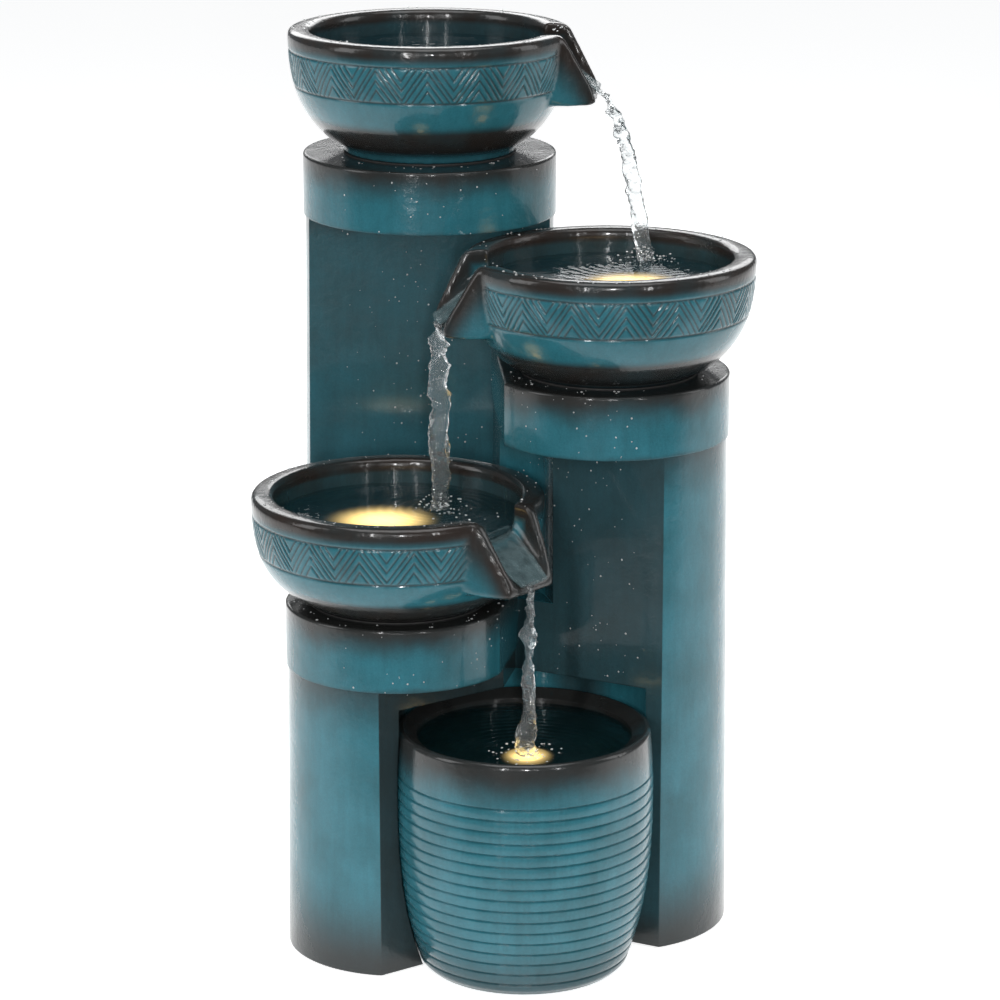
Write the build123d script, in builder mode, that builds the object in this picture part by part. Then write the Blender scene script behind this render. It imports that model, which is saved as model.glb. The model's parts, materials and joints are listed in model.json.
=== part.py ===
from dataclasses import dataclass
from math import cos, radians, sin, tan
import os

from build123d import *

os.makedirs("parts", exist_ok=True)

# Cascading water fountain: three columns of falling height, each carrying a spouted bowl,
# and a ribbed pot at the front that holds the pump. Millimetres, +Z up, front is -Y.
# The origin is under the middle of the plan, on the surface that the feet stand on.

# ---- Driving dimensions: plan and heights ----
overall_height = 800.0
column_spread = 189.0  # between the axes of the right and left columns
plan_depth = 293.9  # from the pot's axis back to the rear column's axis
right_column_behind_pot = 123.9
left_column_behind_pot = 56.5
pot_off_centre = 17.7
rear_column_off_centre = -69.0
middle_rim_drop = 176.4
lower_rim_drop = 201.0
ground_gap = 2.0  # the castings hang this far above the surface

# ---- Castings ----
column_wall = 8.0
draft_angle = 0.6
cap_height = 57.2
cap_overhang = 2.0
cap_edge_round = 2.5
cap_plate = 9.0
casting_gap = 1.5  # left between castings that nest into one another
facet_reach = 97.5  # from a cap's axis to the flat side of its bridge
bowl_pocket_gap = 9.3
splash_gap = 12.0  # air left under a bowl inside a pocket

# ---- Bowls ----
bowl_radius = 130.7
bowl_opening = 109.5
bowl_floor = 9.0
band_top = 18.0
band_bottom = 51.0
line_depth = 1.0
line_width = 2.0
foot_radius = 80.0
foot_width = 18.0
rim_round = 5.0
band_draft = 5.2  # how far the wall has turned in at the band's lower line
hip_inset = 23.8  # how far it has turned in part of the way down to the foot
hip_share = 0.64
well_radius = 46.0  # the flat middle of a bowl's floor
sill_depth = 26.0  # from the rim down to the channel's floor at the bowl's wall
bedding = 1.0  # silicone between a bowl's foot and its cap
line_lean = 0.4  # the wall steps in this much below the band's lower line
rim_lean = 0.7  # and this much below the rim
inside_waist = 7.0  # how far the inside has turned in part of the way down
inside_waist_share = 0.62

# ---- Spouts ----
spout_root = 44.0  # half the beak's width where it leaves the bowl
spout_tip = 29.0
spout_reach = 156.0
spout_tip_depth = 63.0
spout_underside = 66.0
spout_round = 8.0
spout_crown = 125.5  # radius at which the spout's sides leave the level of the rim
spout_crown_round = 12.0
spout_knee = 152.5
spout_knee_depth = 50.0
spout_knee_round = 16.0
spout_shoulder = 117.5  # radius at which the spout starts to narrow
spout_overlap = 5.0  # how far the beak and its channel run into the bowl's wall
spout_undercut = 4.0
channel_root = 34.0  # half the channel's width
channel_tip = 23.0
channel_end_depth = 58.0
channel_round = 9.0

# ---- Pot ----
pot_height = 222.9
pot_radius = 115.2  # at the fullest ring
pot_base_radius = 90.0
pot_wall = 11.0
pot_floor = 12.0
lip_width = 17.0
lip_fall = 7.0
ring_count = 17
ring_pitch = 10.6
first_ring = 183.0
ring_depth = 1.7
ring_swell = 0.5
belly_height = 165.0
mouth_taper = 2.2
pot_headroom = 21.0  # the pockets rise this far over the pot's rim

# ---- Pump ----
pump_width = 50.0
pump_motor_length = 44.0
pump_body_height = 54.0
pump_corner = 6.0
pump_behind_centre = 16.0
pump_off_centre = 10.0
motor_axis_height = 25.0
suction_cup_height = 5.0
suction_cup_radius = 8.5
suction_cup_skirt = 2.0
suction_cup_stem = 4.0
suction_cup_inset = 9.0  # from the pump's edges
rotor_radius = 11.0
rotor_length = 24.0
rotor_clearance = 1.0
impeller_radius = 16.0
impeller_length = 7.0
blade_count = 6
blade_thickness = 1.6
end_play = 0.5
inlet_hole_radius = 3.2
inlet_hole_circle = 8.0
shaft_radius = 1.25
shaft_fit = 0.05
shaft_blind = 4.0  # depth of the blind hole that seats the shaft's back end
shaft_nose = 3.0  # how far its front end runs into the front cover
cover_thickness = 7.0
screen_length = 17.0
screen_wall = 2.2
slot_width = 3.0
slot_pitch = 7.0
slots_per_side = 6
dial_radius = 14.0
dial_thickness = 3.0
dial_gap = 0.35
window_count = 3
window_radius = 9.0
window_hole_radius = 2.6
hub_radius = 4.0
hub_head = 1.4
hub_lip = 1.5
grip_width = 3.0
hub_fit = 0.08

# ---- Water pipes ----
pipe_bore = 8.0  # radius of the hose's bore, and of every barb
pipe_wall = 2.0
barb_bore = 5.5
outlet_bore = 3.5  # in the pump's own wall
hose_clearance = 1.0  # left between a hose's end and the shoulder behind the barb
stem_spare = 3.0  # thread that stands out of a nut
supply_height = 96.0
flange_radius = 17.0
flange_thickness = 4.0
seal_thickness = 2.0
nut_thickness = 7.0
nut_across_flats = 30.0
thread_radius = 11.0
thread_gap = 0.5
seat_sink = 1.7  # the flat seats are cut this far into the curved walls
nut_sink = 3.0
barb_length = 16.0
elbow_radius = 14.0
joiner_collar = 4.0
riser_foot = 300.0
hose_passage_radius = 20.0
hose_crossing_x = 13.0  # where the hose passes into the rear column
hose_crossing_z = 98.0

# ---- Lamps and wiring ----
lamp_radius = 19.0
lamp_height = 17.0
lamp_lens_height = 5.0
lamp_off_centre = 18.0
lamp_stem_radius = 6.0
lamp_nut_across_flats = 18.0
lead_bore = 2.5
pot_lamp_forward = 54.0
box_length = 62.0
box_width = 40.0
box_height = 26.0
box_wall = 2.5
box_corner = 4.0
box_left_of_axis = 48.0
box_behind_axis = 40.0
lead_pitch = 14.0
lid_thickness = 3.0
cord_height = 26.0
cord_bore = 3.6
grommet_radius = 8.0
grommet_groove = 6.5
grommet_lip = 2.5
grommet_bed = 0.15  # clearance between the grommet's lip and the curved wall

# ---- Base ----
cover_plate = 6.0
cover_gap = 0.4
foot_pad_radius = 11.0
foot_pad_height = 6.0
foot_screw_radius = 2.0
foot_screw_head = 4.0
foot_screw_head_height = 2.5
foot_screw_sink = 1.5  # from the pad's sole up to the screw's head
foot_screw_gap = 0.2
pad_circle = 0.74  # of the cap's radius
pot_pad_circle = 60.0
pot_pad_radius = 12.0

# ---- Placement worked out from the above ----
rear_y = (plan_depth + pot_radius - bowl_radius) / 2
pot_x = pot_off_centre
pot_y = rear_y - plan_depth
rim_rear = overall_height
rim_right = rim_rear - middle_rim_drop
rim_left = rim_right - lower_rim_drop


@dataclass
class Tier:
    """One column with its cap and bowl."""

    name: str
    bowl_name: str
    x: float
    y: float
    cap_radius: float
    rim: float
    stand: float  # from the cap's top up to the bowl's rim
    bowl_depth: float
    spout_angle: float
    flat_angle: float  # the way the column's flat face looks
    flat_reach: float  # from the column's axis to that face, under the cap
    pad_bearings: list[float]

    @property
    def cap_top(self):
        return self.rim - self.stand

    @property
    def cap_low(self):
        return self.cap_top - cap_height

    @property
    def floor_top(self):
        """Height of the flat middle of the bowl's floor."""
        return self.rim - self.bowl_depth + bowl_floor

    def side_plane(self, angle, height):
        """An upright plane through the column's axis, with its X pointing out at a bearing."""
        out = (cos(radians(angle)), sin(radians(angle)), 0)
        return Plane((self.x, self.y, height), x_dir=out, z_dir=(out[1], -out[0], 0))

    def plan_plane(self, angle, height):
        """A level plane on the column's axis, with its X pointing out at a bearing."""
        return Plane((self.x, self.y, height), x_dir=(cos(radians(angle)), sin(radians(angle)), 0))

    def around(self, angle, radius):
        """Point at a bearing and radius from the column's axis."""
        return (self.x + radius * cos(radians(angle)), self.y + radius * sin(radians(angle)))


rear = Tier("rear", "top", rear_column_off_centre, rear_y, cap_radius=117.5, rim=rim_rear, stand=114.6,
            bowl_depth=107.0, spout_angle=-5.0, flat_angle=-90.0, flat_reach=31.0,
            pad_bearings=[0, 60, 120, 180])
right = Tier("right", "middle", column_spread / 2, pot_y + right_column_behind_pot, cap_radius=108.1,
             rim=rim_right, stand=106.2, bowl_depth=103.5, spout_angle=-170.0, flat_angle=-117.8,
             flat_reach=63.0, pad_bearings=[-40, 20, 80, 150])
left = Tier("left", "lower", -column_spread / 2, pot_y + left_column_behind_pot, cap_radius=101.0,
            rim=rim_left, stand=99.3, bowl_depth=97.0, spout_angle=-40.0, flat_angle=-54.0,
            flat_reach=70.0, pad_bearings=[60, 120, 180, -110])
tiers = [rear, right, left]


@dataclass
class Bridge:
    """The block that ties a column to the one behind it, in the frame of its open side."""

    facing: float  # the way its open side looks
    width: float
    length: float  # from the column's axis, along the open side
    side: int  # +1 where the length runs anticlockwise of the facing


bridges = {
    "right": Bridge(facing=-176.4, width=49.5, length=165.0, side=-1),
    "left": Bridge(facing=-11.1, width=77.0, length=110.0, side=1),
}


def save(solid_part, name):
    """Label a finished piece and write it."""
    solid_part.label = name
    export_step(solid_part, f"parts/{name}.step")


def stem_radius(tier):
    """Thread of the fitting that clamps a bowl to its cap: the inlet at the top, a lamp below."""
    return thread_radius if tier is rear else lamp_stem_radius


def stem_place(tier, height):
    """Where that fitting stands: on the axis, or for a lamp set back from the spout."""
    reach = 0 if tier is rear else lamp_off_centre
    return (*tier.around(tier.spout_angle + 180, reach), height)


# ---- Plan sections of the columns ----
def trim_side(tier, facing, reach, far):
    """Cut the open sketch back to a straight side."""
    centre = tier.around(facing, reach + far / 2)
    with Locations(Location((centre[0], centre[1], 0), (0, 0, facing))):
        Rectangle(far, far, mode=Mode.SUBTRACT)


def column_section(tier, height, inset, with_flat=True):
    """A column's plan section: a disc, its bridge to the column behind, and its straight sides."""
    radius = tier.cap_radius - inset
    far = 4 * tier.cap_radius
    with BuildSketch(Plane.XY.offset(height)) as section:
        with Locations((tier.x, tier.y)):
            Circle(radius)
        if tier.name in bridges:
            bridge = bridges[tier.name]
            inner = facet_reach - bridge.width + inset
            outer = facet_reach - inset
            length = bridge.length - inset
            across = tier.around(bridge.facing, (inner + outer) / 2)
            along = radians(bridge.facing + 90 * bridge.side)
            centre = (across[0] + cos(along) * length / 2, across[1] + sin(along) * length / 2, 0)
            with Locations(Location(centre, (0, 0, bridge.facing))):
                Rectangle(outer - inner, length)
            trim_side(tier, bridge.facing, outer, far)
        if with_flat:
            trim_side(tier, tier.flat_angle, tier.flat_reach + cap_overhang - inset, far)
    return section.sketch


def drafted(tier, inset, low, high):
    """A column's body between two heights, inset from its outside, with the mould's draft."""
    slope = tan(radians(draft_angle))
    with BuildPart() as body:
        for height in (low, high):
            add(column_section(tier, height, cap_overhang + inset - (tier.cap_low - height) * slope))
        loft(ruled=True)
    return body.part


def pot_smooth_radius(height):
    """The pot's outside radius over its rings, as a smooth curve of height."""
    belly = pot_radius - ring_swell
    if height > belly_height:
        return belly - mouth_taper * ((height - belly_height) / (pot_height - belly_height)) ** 2
    return belly - (belly - pot_base_radius) * (1 - height / belly_height) ** 2.6


def pot_inside_radius(height):
    """The radius of the pot's inner wall."""
    return pot_smooth_radius(height) - pot_wall


def pot_room(grow):
    """The room that the pot and its mouth take in the columns, grown all round."""
    steps = 8
    heights = [pot_height * step / steps for step in range(steps + 1)]
    side = [(pot_smooth_radius(height) + grow, height) for height in heights]
    top = pot_height + pot_headroom + grow
    with BuildPart() as room:
        with BuildSketch(Plane((pot_x, pot_y, 0), x_dir=(1, 0, 0), z_dir=(0, -1, 0))):
            with BuildLine():
                Polyline((0, -1), (side[0][0], -1), *side, (side[-1][0], top), (0, top), close=True)
            make_face()
        revolve(axis=Axis((pot_x, pot_y, 0), (0, 0, 1)))
    return room.part


def lower_bowl_room(grow):
    """The round pocket that the lower bowl sits back into, grown all round."""
    low = left.cap_top - splash_gap - grow
    with BuildPart() as room:
        with BuildSketch(Plane.XY.offset(low)):
            with Locations((left.x, left.y)):
                Circle(bowl_radius + bowl_pocket_gap + grow)
        extrude(amount=right.cap_low + 1 + grow - low)
    return room.part


# ---- Where the supply leaves the pot and enters the right column ----
mouth = pot_smooth_radius(pot_height)
floor_z = ground_gap + pot_floor
supply_x = pot_x + pump_off_centre
seat_reach = pot_inside_radius(supply_height + flange_radius) + 0.2  # flat seat for the supply's flange
back_reach = pot_smooth_radius(supply_height) + casting_gap + column_wall  # back of the pocket's wall
supply_seat_y = pot_y + (seat_reach ** 2 - pump_off_centre ** 2) ** 0.5 + seat_sink
supply_nut_y = pot_y + (back_reach ** 2 - pump_off_centre ** 2) ** 0.5 - nut_sink


def facing_back(y):
    """Upright plane at a distance back, facing +Y, on the supply's axis."""
    return Plane((supply_x, y, supply_height), x_dir=(-1, 0, 0), z_dir=(0, 1, 0))


# ---- Columns ----
forms = {tier.name: drafted(tier, 0, ground_gap, tier.cap_low) for tier in tiers}
hollows = {tier.name: drafted(tier, column_wall, ground_gap - 1, tier.cap_low + 1) for tier in tiers}
behind = {"rear": [], "right": ["rear"], "left": ["right"]}
pot_pocket = pot_room(casting_gap)
pot_pocket_back = pot_room(casting_gap + column_wall)
bowl_pocket = lower_bowl_room(0)
bowl_pocket_back = lower_bowl_room(column_wall)

with BuildPart() as hose_passage:
    with BuildSketch(Plane((pot_x, rear.y, supply_height), x_dir=(1, 0, 0), z_dir=(0, -1, 0))):
        with Locations((hose_crossing_x - pot_x, hose_crossing_z - supply_height)):
            Circle(hose_passage_radius)
    extrude(amount=rear.flat_reach + 4 * column_wall)

with BuildPart() as cord_passage:
    with BuildSketch(Plane((rear.x, rear.y, cord_height), x_dir=(-1, 0, 0), z_dir=(0, 1, 0))):
        Circle(grommet_groove)
    extrude(amount=2 * rear.cap_radius)

for tier in tiers:
    with BuildPart() as column:
        add(forms[tier.name])
        for name in behind[tier.name]:
            add(forms[name], mode=Mode.SUBTRACT)
        if tier is not rear:
            add(pot_pocket, mode=Mode.SUBTRACT)
        if tier is right:
            add(bowl_pocket, mode=Mode.SUBTRACT)
    with BuildPart() as hollow:
        add(hollows[tier.name])
        if tier is not rear:
            add(pot_pocket_back, mode=Mode.SUBTRACT)
        if tier is right:
            add(bowl_pocket_back, mode=Mode.SUBTRACT)
    with BuildPart() as shell:
        add(column.part)
        add(hollow.part, mode=Mode.SUBTRACT)
        if tier is rear:
            add(hose_passage.part, mode=Mode.SUBTRACT)
            add(cord_passage.part, mode=Mode.SUBTRACT)
        if tier is right:
            with BuildSketch(facing_back(pot_y)):
                Circle(thread_radius + thread_gap)
            extrude(amount=supply_nut_y - pot_y, mode=Mode.SUBTRACT)
            with BuildSketch(facing_back(supply_nut_y)):
                Circle(nut_across_flats / 3 ** 0.5 + thread_gap)
            extrude(amount=2 * column_wall, mode=Mode.SUBTRACT)
    save(shell.part, f"{tier.name}_column")


# ---- Caps ----
for tier in tiers:
    with BuildPart() as cap:
        add(column_section(tier, tier.cap_low, 0, with_flat=False))
        extrude(amount=cap_height)
        fillet(cap.faces().sort_by(Axis.Z)[-1].edges(), cap_edge_round)
        for name in behind[tier.name]:
            add(forms[name], mode=Mode.SUBTRACT)
        add(column_section(tier, tier.cap_low, cap_overhang + column_wall))
        extrude(amount=cap_height - cap_plate, mode=Mode.SUBTRACT)
        with Locations(stem_place(tier, tier.cap_top)):
            Hole(stem_radius(tier) + thread_gap)
    save(cap.part, f"{tier.name}_cap")


# ---- Bowls ----
def spout_block(tier):
    """The beak outside its channel: a side outline narrowed in plan."""
    start = bowl_opening - spout_overlap
    outline = [(start, 0), (spout_crown, 0), (spout_knee, -spout_knee_depth),
               (spout_reach, -spout_tip_depth), (spout_reach - spout_undercut, -spout_underside),
               (start, -spout_underside)]
    outline_rounds = [0, spout_crown_round, spout_knee_round, 0, 0, 0]
    narrowed = [(start, spout_root), (spout_shoulder, spout_root), (spout_reach + 1, spout_tip)]
    with BuildPart() as block:
        with BuildSketch(tier.side_plane(tier.spout_angle, tier.rim)):
            with BuildLine():
                FilletPolyline(*outline, radius=outline_rounds, close=True)
            make_face()
        extrude(amount=spout_root, both=True)
        with BuildSketch(tier.plan_plane(tier.spout_angle, tier.rim + 1)):
            Polygon(*narrowed, *[(reach, -half) for reach, half in reversed(narrowed)], align=None)
        extrude(amount=-spout_underside - 2, mode=Mode.INTERSECT)
        under = block.faces().sort_by(Axis.Z)[0]
        along_spout = Axis((0, 0, 0), tier.plan_plane(tier.spout_angle, 0).x_dir)
        fillet(under.edges().filter_by(along_spout), spout_round)
    return block.part


def spout_channel(tier):
    """What the water's channel takes out of a bowl and its beak."""
    slope = (channel_end_depth - sill_depth) / (spout_reach - bowl_opening)
    narrowing = (channel_root - channel_tip) / (spout_reach - bowl_opening)
    start = bowl_opening - 3 * spout_overlap
    end = spout_reach + 3 * spout_overlap

    def floor_at(reach):
        return -sill_depth - slope * (reach - bowl_opening)

    def half_width(reach):
        return channel_root - narrowing * (reach - bowl_opening)

    with BuildPart() as channel:
        with BuildSketch(tier.side_plane(tier.spout_angle, tier.rim)):
            Polygon((start, floor_at(start)), (end, floor_at(end)), (end, 6), (start, 6), align=None)
        extrude(amount=2 * channel_root, both=True)
        with BuildSketch(tier.plan_plane(tier.spout_angle, tier.rim + 7)):
            Polygon((start, -half_width(start)), (end, -half_width(end)), (end, half_width(end)),
                    (start, half_width(start)), align=None)
        extrude(amount=-2 * spout_underside, mode=Mode.INTERSECT)
        floor_edges = channel.faces().sort_by(Axis.Z)[0].edges()
        fillet(floor_edges.sort_by(Edge.length)[-2:], channel_round)
    return channel.part


def bowl_inner_curve(tier):
    """The inside of a bowl's section, from under the rim's edge in to the flat of its floor."""
    well = tier.floor_top - tier.rim
    with BuildLine() as curve:
        Spline((bowl_opening, -rim_round), (bowl_opening - inside_waist, inside_waist_share * well),
               (well_radius, well), tangents=[(0, -1), (-1, 0)])
    return curve.line


def bowl_outline(tier):
    """Half of a bowl's section, from its axis out, with the rim at zero."""
    foot = tier.stand - bedding
    belly = tier.bowl_depth - band_bottom
    hip = (bowl_radius - hip_inset, -band_bottom - hip_share * belly)
    well = tier.floor_top - tier.rim
    half_line = line_width / 2
    under_band = bowl_radius - band_draft
    with BuildLine() as outline:
        Polyline((0, well), (0, -tier.bowl_depth), (foot_radius - foot_width, -tier.bowl_depth),
                 (foot_radius - foot_width, -foot), (foot_radius, -foot), (foot_radius, -tier.bowl_depth))
        Spline((foot_radius, -tier.bowl_depth), hip, (under_band - line_lean, -band_bottom - half_line),
               tangents=[(1, 0.35), (0.33, 1)])
        Polyline((under_band - line_lean, -band_bottom - half_line), (under_band - line_depth, -band_bottom),
                 (under_band, -band_bottom + half_line))
        ThreePointArc((under_band, -band_bottom + half_line),
                      (bowl_radius - 0.4 * band_draft, -(band_bottom + band_top) / 2),
                      (bowl_radius - rim_lean, -band_top - half_line))
        Polyline((bowl_radius - rim_lean, -band_top - half_line),
                 (bowl_radius - rim_lean - line_depth, -band_top),
                 (bowl_radius - rim_lean, -band_top + half_line), (bowl_radius, -rim_round))
        RadiusArc((bowl_radius, -rim_round), (bowl_radius - rim_round, 0), -rim_round)
        Line((bowl_radius - rim_round, 0), (bowl_opening + rim_round, 0))
        RadiusArc((bowl_opening + rim_round, 0), (bowl_opening, -rim_round), -rim_round)
        add(bowl_inner_curve(tier))
        Line((well_radius, well), (0, well))
    return outline.line


for tier in tiers:
    beak = spout_block(tier)
    channel = spout_channel(tier)
    outline = bowl_outline(tier)
    with BuildPart() as solid_bowl:
        with BuildSketch(tier.side_plane(tier.spout_angle, tier.rim)):
            with BuildLine():
                add(outline)
            make_face()
        revolve(axis=Axis((tier.x, tier.y, 0), (0, 0, 1)))
    with BuildPart() as inside:
        with BuildSketch(tier.side_plane(tier.spout_angle, tier.rim)):
            with BuildLine():
                add(bowl_inner_curve(tier))
                Polyline((well_radius, tier.floor_top - tier.rim), (0, tier.floor_top - tier.rim), (0, 1),
                         (bowl_opening, 1), (bowl_opening, -rim_round))
            make_face()
        revolve(axis=Axis((tier.x, tier.y, 0), (0, 0, 1)))
    with BuildPart() as bowl:
        add(solid_bowl.part)
        add(beak)
        add(inside.part, mode=Mode.SUBTRACT)
        add(channel, mode=Mode.SUBTRACT)
        with Locations(stem_place(tier, tier.floor_top)):
            Hole(stem_radius(tier) + thread_gap)
    save(bowl.part, f"{tier.bowl_name}_bowl")

    with BuildPart() as bed:
        with BuildSketch(Plane.XY.offset(tier.cap_top)):
            with Locations((tier.x, tier.y)):
                Circle(foot_radius)
                Circle(foot_radius - foot_width, mode=Mode.SUBTRACT)
        extrude(amount=bedding)
    save(bed.part, f"{tier.bowl_name}_bowl_bedding")


# ---- Pot ----
with BuildPart() as pot:
    with BuildSketch(Plane((pot_x, pot_y, 0), x_dir=(1, 0, 0), z_dir=(0, -1, 0))):
        with BuildLine():
            half_line = line_width / 2
            start = (pot_smooth_radius(ground_gap) - 3, ground_gap)
            Polyline((0, floor_z), (0, ground_gap), start, (start[0] + 3, ground_gap + 3))
            last = (start[0] + 3, ground_gap + 3)
            for ring in reversed(range(ring_count)):
                height = first_ring - ring * ring_pitch
                low = (pot_smooth_radius(height - half_line), height - half_line)
                high = (pot_smooth_radius(height + half_line), height + half_line)
                middle = (last[1] + low[1]) / 2
                ThreePointArc(last, (pot_smooth_radius(middle) + ring_swell, middle), low)
                Polyline(low, (pot_smooth_radius(height) - ring_depth, height), high)
                last = high
            Spline(last, (pot_smooth_radius(0.9 * pot_height), 0.9 * pot_height),
                   (mouth, pot_height - rim_round))
            RadiusArc((mouth, pot_height - rim_round), (mouth - rim_round, pot_height), -rim_round)
            lip = (mouth - lip_width, pot_height - lip_fall)
            Polyline((mouth - rim_round, pot_height), lip, (lip[0], lip[1] - 5),
                     (pot_inside_radius(belly_height), lip[1] - 14))
            Spline((pot_inside_radius(belly_height), lip[1] - 14),
                   (pot_inside_radius(belly_height), belly_height),
                   (pot_inside_radius(60), 60), (pot_inside_radius(24), 24),
                   (pot_inside_radius(24) - 10, floor_z))
            Line((pot_inside_radius(24) - 10, floor_z), (0, floor_z))
        make_face()
    revolve(axis=Axis((pot_x, pot_y, 0), (0, 0, 1)))
    with BuildSketch(facing_back(pot_y)):
        Circle(flange_radius + thread_gap)
    extrude(amount=supply_seat_y - pot_y, mode=Mode.SUBTRACT)
    with BuildSketch(facing_back(pot_y)):
        Circle(thread_radius + thread_gap)
    extrude(amount=2 * pot_radius, mode=Mode.SUBTRACT)
save(pot.part, "pot")

with BuildPart() as pot_pads:
    with BuildSketch(Plane.XY):
        with Locations((pot_x, pot_y)):
            with PolarLocations(pot_pad_circle, 3, start_angle=-90):
                Circle(pot_pad_radius)
    extrude(amount=ground_gap)
save(pot_pads.part, "pot_pads")


# ---- Column bases: cover plates, pads and their screws ----
for tier in tiers:
    pad_places = [tier.around(bearing, pad_circle * tier.cap_radius) for bearing in tier.pad_bearings]
    plate_low = foot_pad_height
    plate_blank = drafted(tier, column_wall + cover_gap, plate_low, plate_low + cover_plate)
    with BuildPart() as plate:
        add(plate_blank)
        if tier is not rear:
            add(pot_room(casting_gap + column_wall + cover_gap), mode=Mode.SUBTRACT)
        for name in behind[tier.name]:
            add(forms[name], mode=Mode.SUBTRACT)
        with Locations([(x, y, plate_low + cover_plate) for x, y in pad_places]):
            Hole(foot_screw_radius)
    save(plate.part, f"{tier.name}_base_cover")

    with BuildPart() as pads:
        with BuildSketch(Plane.XY):
            with Locations(pad_places):
                Circle(foot_pad_radius)
                Circle(foot_screw_head + foot_screw_gap, mode=Mode.SUBTRACT)
        extrude(amount=foot_pad_height)
        with BuildSketch(Plane.XY.offset(foot_screw_sink + foot_screw_head_height)):
            with Locations(pad_places):
                Circle(foot_screw_head + foot_screw_gap)
                Circle(foot_screw_radius, mode=Mode.SUBTRACT)
        extrude(amount=foot_pad_height - foot_screw_sink - foot_screw_head_height)
    save(pads.part, f"{tier.name}_pads")

    with BuildPart() as screws:
        with BuildSketch(Plane.XY.offset(foot_screw_sink)):
            with Locations(pad_places):
                Circle(foot_screw_head)
        extrude(amount=foot_screw_head_height)
        with BuildSketch(Plane.XY.offset(foot_screw_sink + foot_screw_head_height)):
            with Locations(pad_places):
                Circle(foot_screw_radius)
        extrude(amount=foot_pad_height + cover_plate - foot_screw_sink - foot_screw_head_height - 1)
    save(screws.part, f"{tier.name}_pad_screws")


# ---- Pump: it stands on the pot's floor with its intake to the right ----
pump_y = pot_y + pump_behind_centre
pump_low = floor_z + suction_cup_height
pump_top = pump_low + pump_body_height
axis_z = pump_low + motor_axis_height
chamber_depth = impeller_length + 2 * end_play
front_x = supply_x + chamber_depth / 2  # where the motor block meets its front cover
block_back_x = front_x - pump_motor_length
screen_back_x = front_x + cover_thickness + dial_gap
screen_front_x = screen_back_x + screen_length
magnet_back_x = front_x - chamber_depth + end_play - rotor_length
shaft_back_x = magnet_back_x - shaft_blind
shaft_front_x = front_x + shaft_nose


def across(x):
    """Upright plane facing along the pump's axis."""
    return Plane((x, pump_y, axis_z), x_dir=(0, 1, 0), z_dir=(1, 0, 0))


block_centre = (pump_low + pump_top) / 2 - axis_z

with BuildPart() as pump_body:
    with BuildSketch(across(block_back_x)):
        with Locations((0, block_centre)):
            RectangleRounded(pump_width, pump_body_height, pump_corner)
    extrude(amount=pump_motor_length)
    with BuildSketch(across(front_x - chamber_depth)):
        Circle(impeller_radius + 2)
    extrude(amount=chamber_depth, mode=Mode.SUBTRACT)
    with BuildSketch(across(magnet_back_x - end_play)):
        Circle(rotor_radius + rotor_clearance)
    extrude(amount=rotor_length + 2 * end_play, mode=Mode.SUBTRACT)
    with BuildSketch(across(shaft_back_x)):
        Circle(shaft_radius)
    extrude(amount=magnet_back_x - shaft_back_x, mode=Mode.SUBTRACT)
    with BuildSketch(Plane((supply_x, pump_y, pump_top))):
        Circle(outlet_bore)
    extrude(amount=axis_z - pump_top, mode=Mode.SUBTRACT)
save(pump_body.part, "pump_body")

with BuildPart() as shaft:
    with BuildSketch(across(shaft_back_x)):
        Circle(shaft_radius)
    extrude(amount=shaft_front_x - shaft_back_x)
save(shaft.part, "rotor_shaft")

with BuildPart() as magnet:
    with BuildSketch(across(magnet_back_x)):
        Circle(rotor_radius)
        Circle(shaft_radius + shaft_fit, mode=Mode.SUBTRACT)
    extrude(amount=rotor_length)
save(magnet.part, "rotor_magnet")

impeller_back_x = magnet_back_x + rotor_length
with BuildPart() as impeller:
    with BuildSketch(across(impeller_back_x)):
        Circle(impeller_radius)
    extrude(amount=blade_thickness)
    with BuildSketch(across(impeller_back_x)):
        Circle(2.4 * shaft_radius)
        with PolarLocations(impeller_radius / 2, blade_count):
            Rectangle(impeller_radius - 1, blade_thickness)
    extrude(amount=impeller_length)
    with BuildSketch(across(impeller_back_x)):
        Circle(shaft_radius + shaft_fit)
    extrude(amount=impeller_length, mode=Mode.SUBTRACT)
save(impeller.part, "impeller")

with BuildPart() as front_cover:
    with BuildSketch(across(front_x)):
        with Locations((0, block_centre)):
            RectangleRounded(pump_width, pump_body_height, pump_corner)
        with PolarLocations(inlet_hole_circle, window_count):
            Circle(inlet_hole_radius, mode=Mode.SUBTRACT)
    extrude(amount=cover_thickness)
    with BuildSketch(across(front_x)):
        Circle(shaft_radius)
    extrude(amount=shaft_front_x - front_x, mode=Mode.SUBTRACT)
save(front_cover.part, "pump_front_cover")

with BuildPart() as screen:
    with BuildSketch(across(screen_back_x)):
        with Locations((0, block_centre)):
            RectangleRounded(pump_width, pump_body_height, pump_corner)
            RectangleRounded(pump_width - 2 * screen_wall, pump_body_height - 2 * screen_wall,
                             pump_corner - screen_wall, mode=Mode.SUBTRACT)
    extrude(amount=screen_length - screen_wall)
    with BuildSketch(across(screen_front_x - screen_wall)):
        with Locations((0, block_centre)):
            RectangleRounded(pump_width, pump_body_height, pump_corner)
        Circle(hub_radius + hub_fit, mode=Mode.SUBTRACT)
        with PolarLocations(window_radius, window_count):
            Circle(window_hole_radius, mode=Mode.SUBTRACT)
    extrude(amount=screen_wall)
    slot_x = screen_back_x + screen_length / 2 - screen_wall
    for row in range(slots_per_side):
        slot_z = axis_z + block_centre + slot_pitch * (row - (slots_per_side - 1) / 2)
        with Locations((slot_x, pump_y, slot_z)):
            Box(screen_length - 3 * screen_wall, 2 * pump_width, slot_width, mode=Mode.SUBTRACT)
save(screen.part, "intake_screen")

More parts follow.
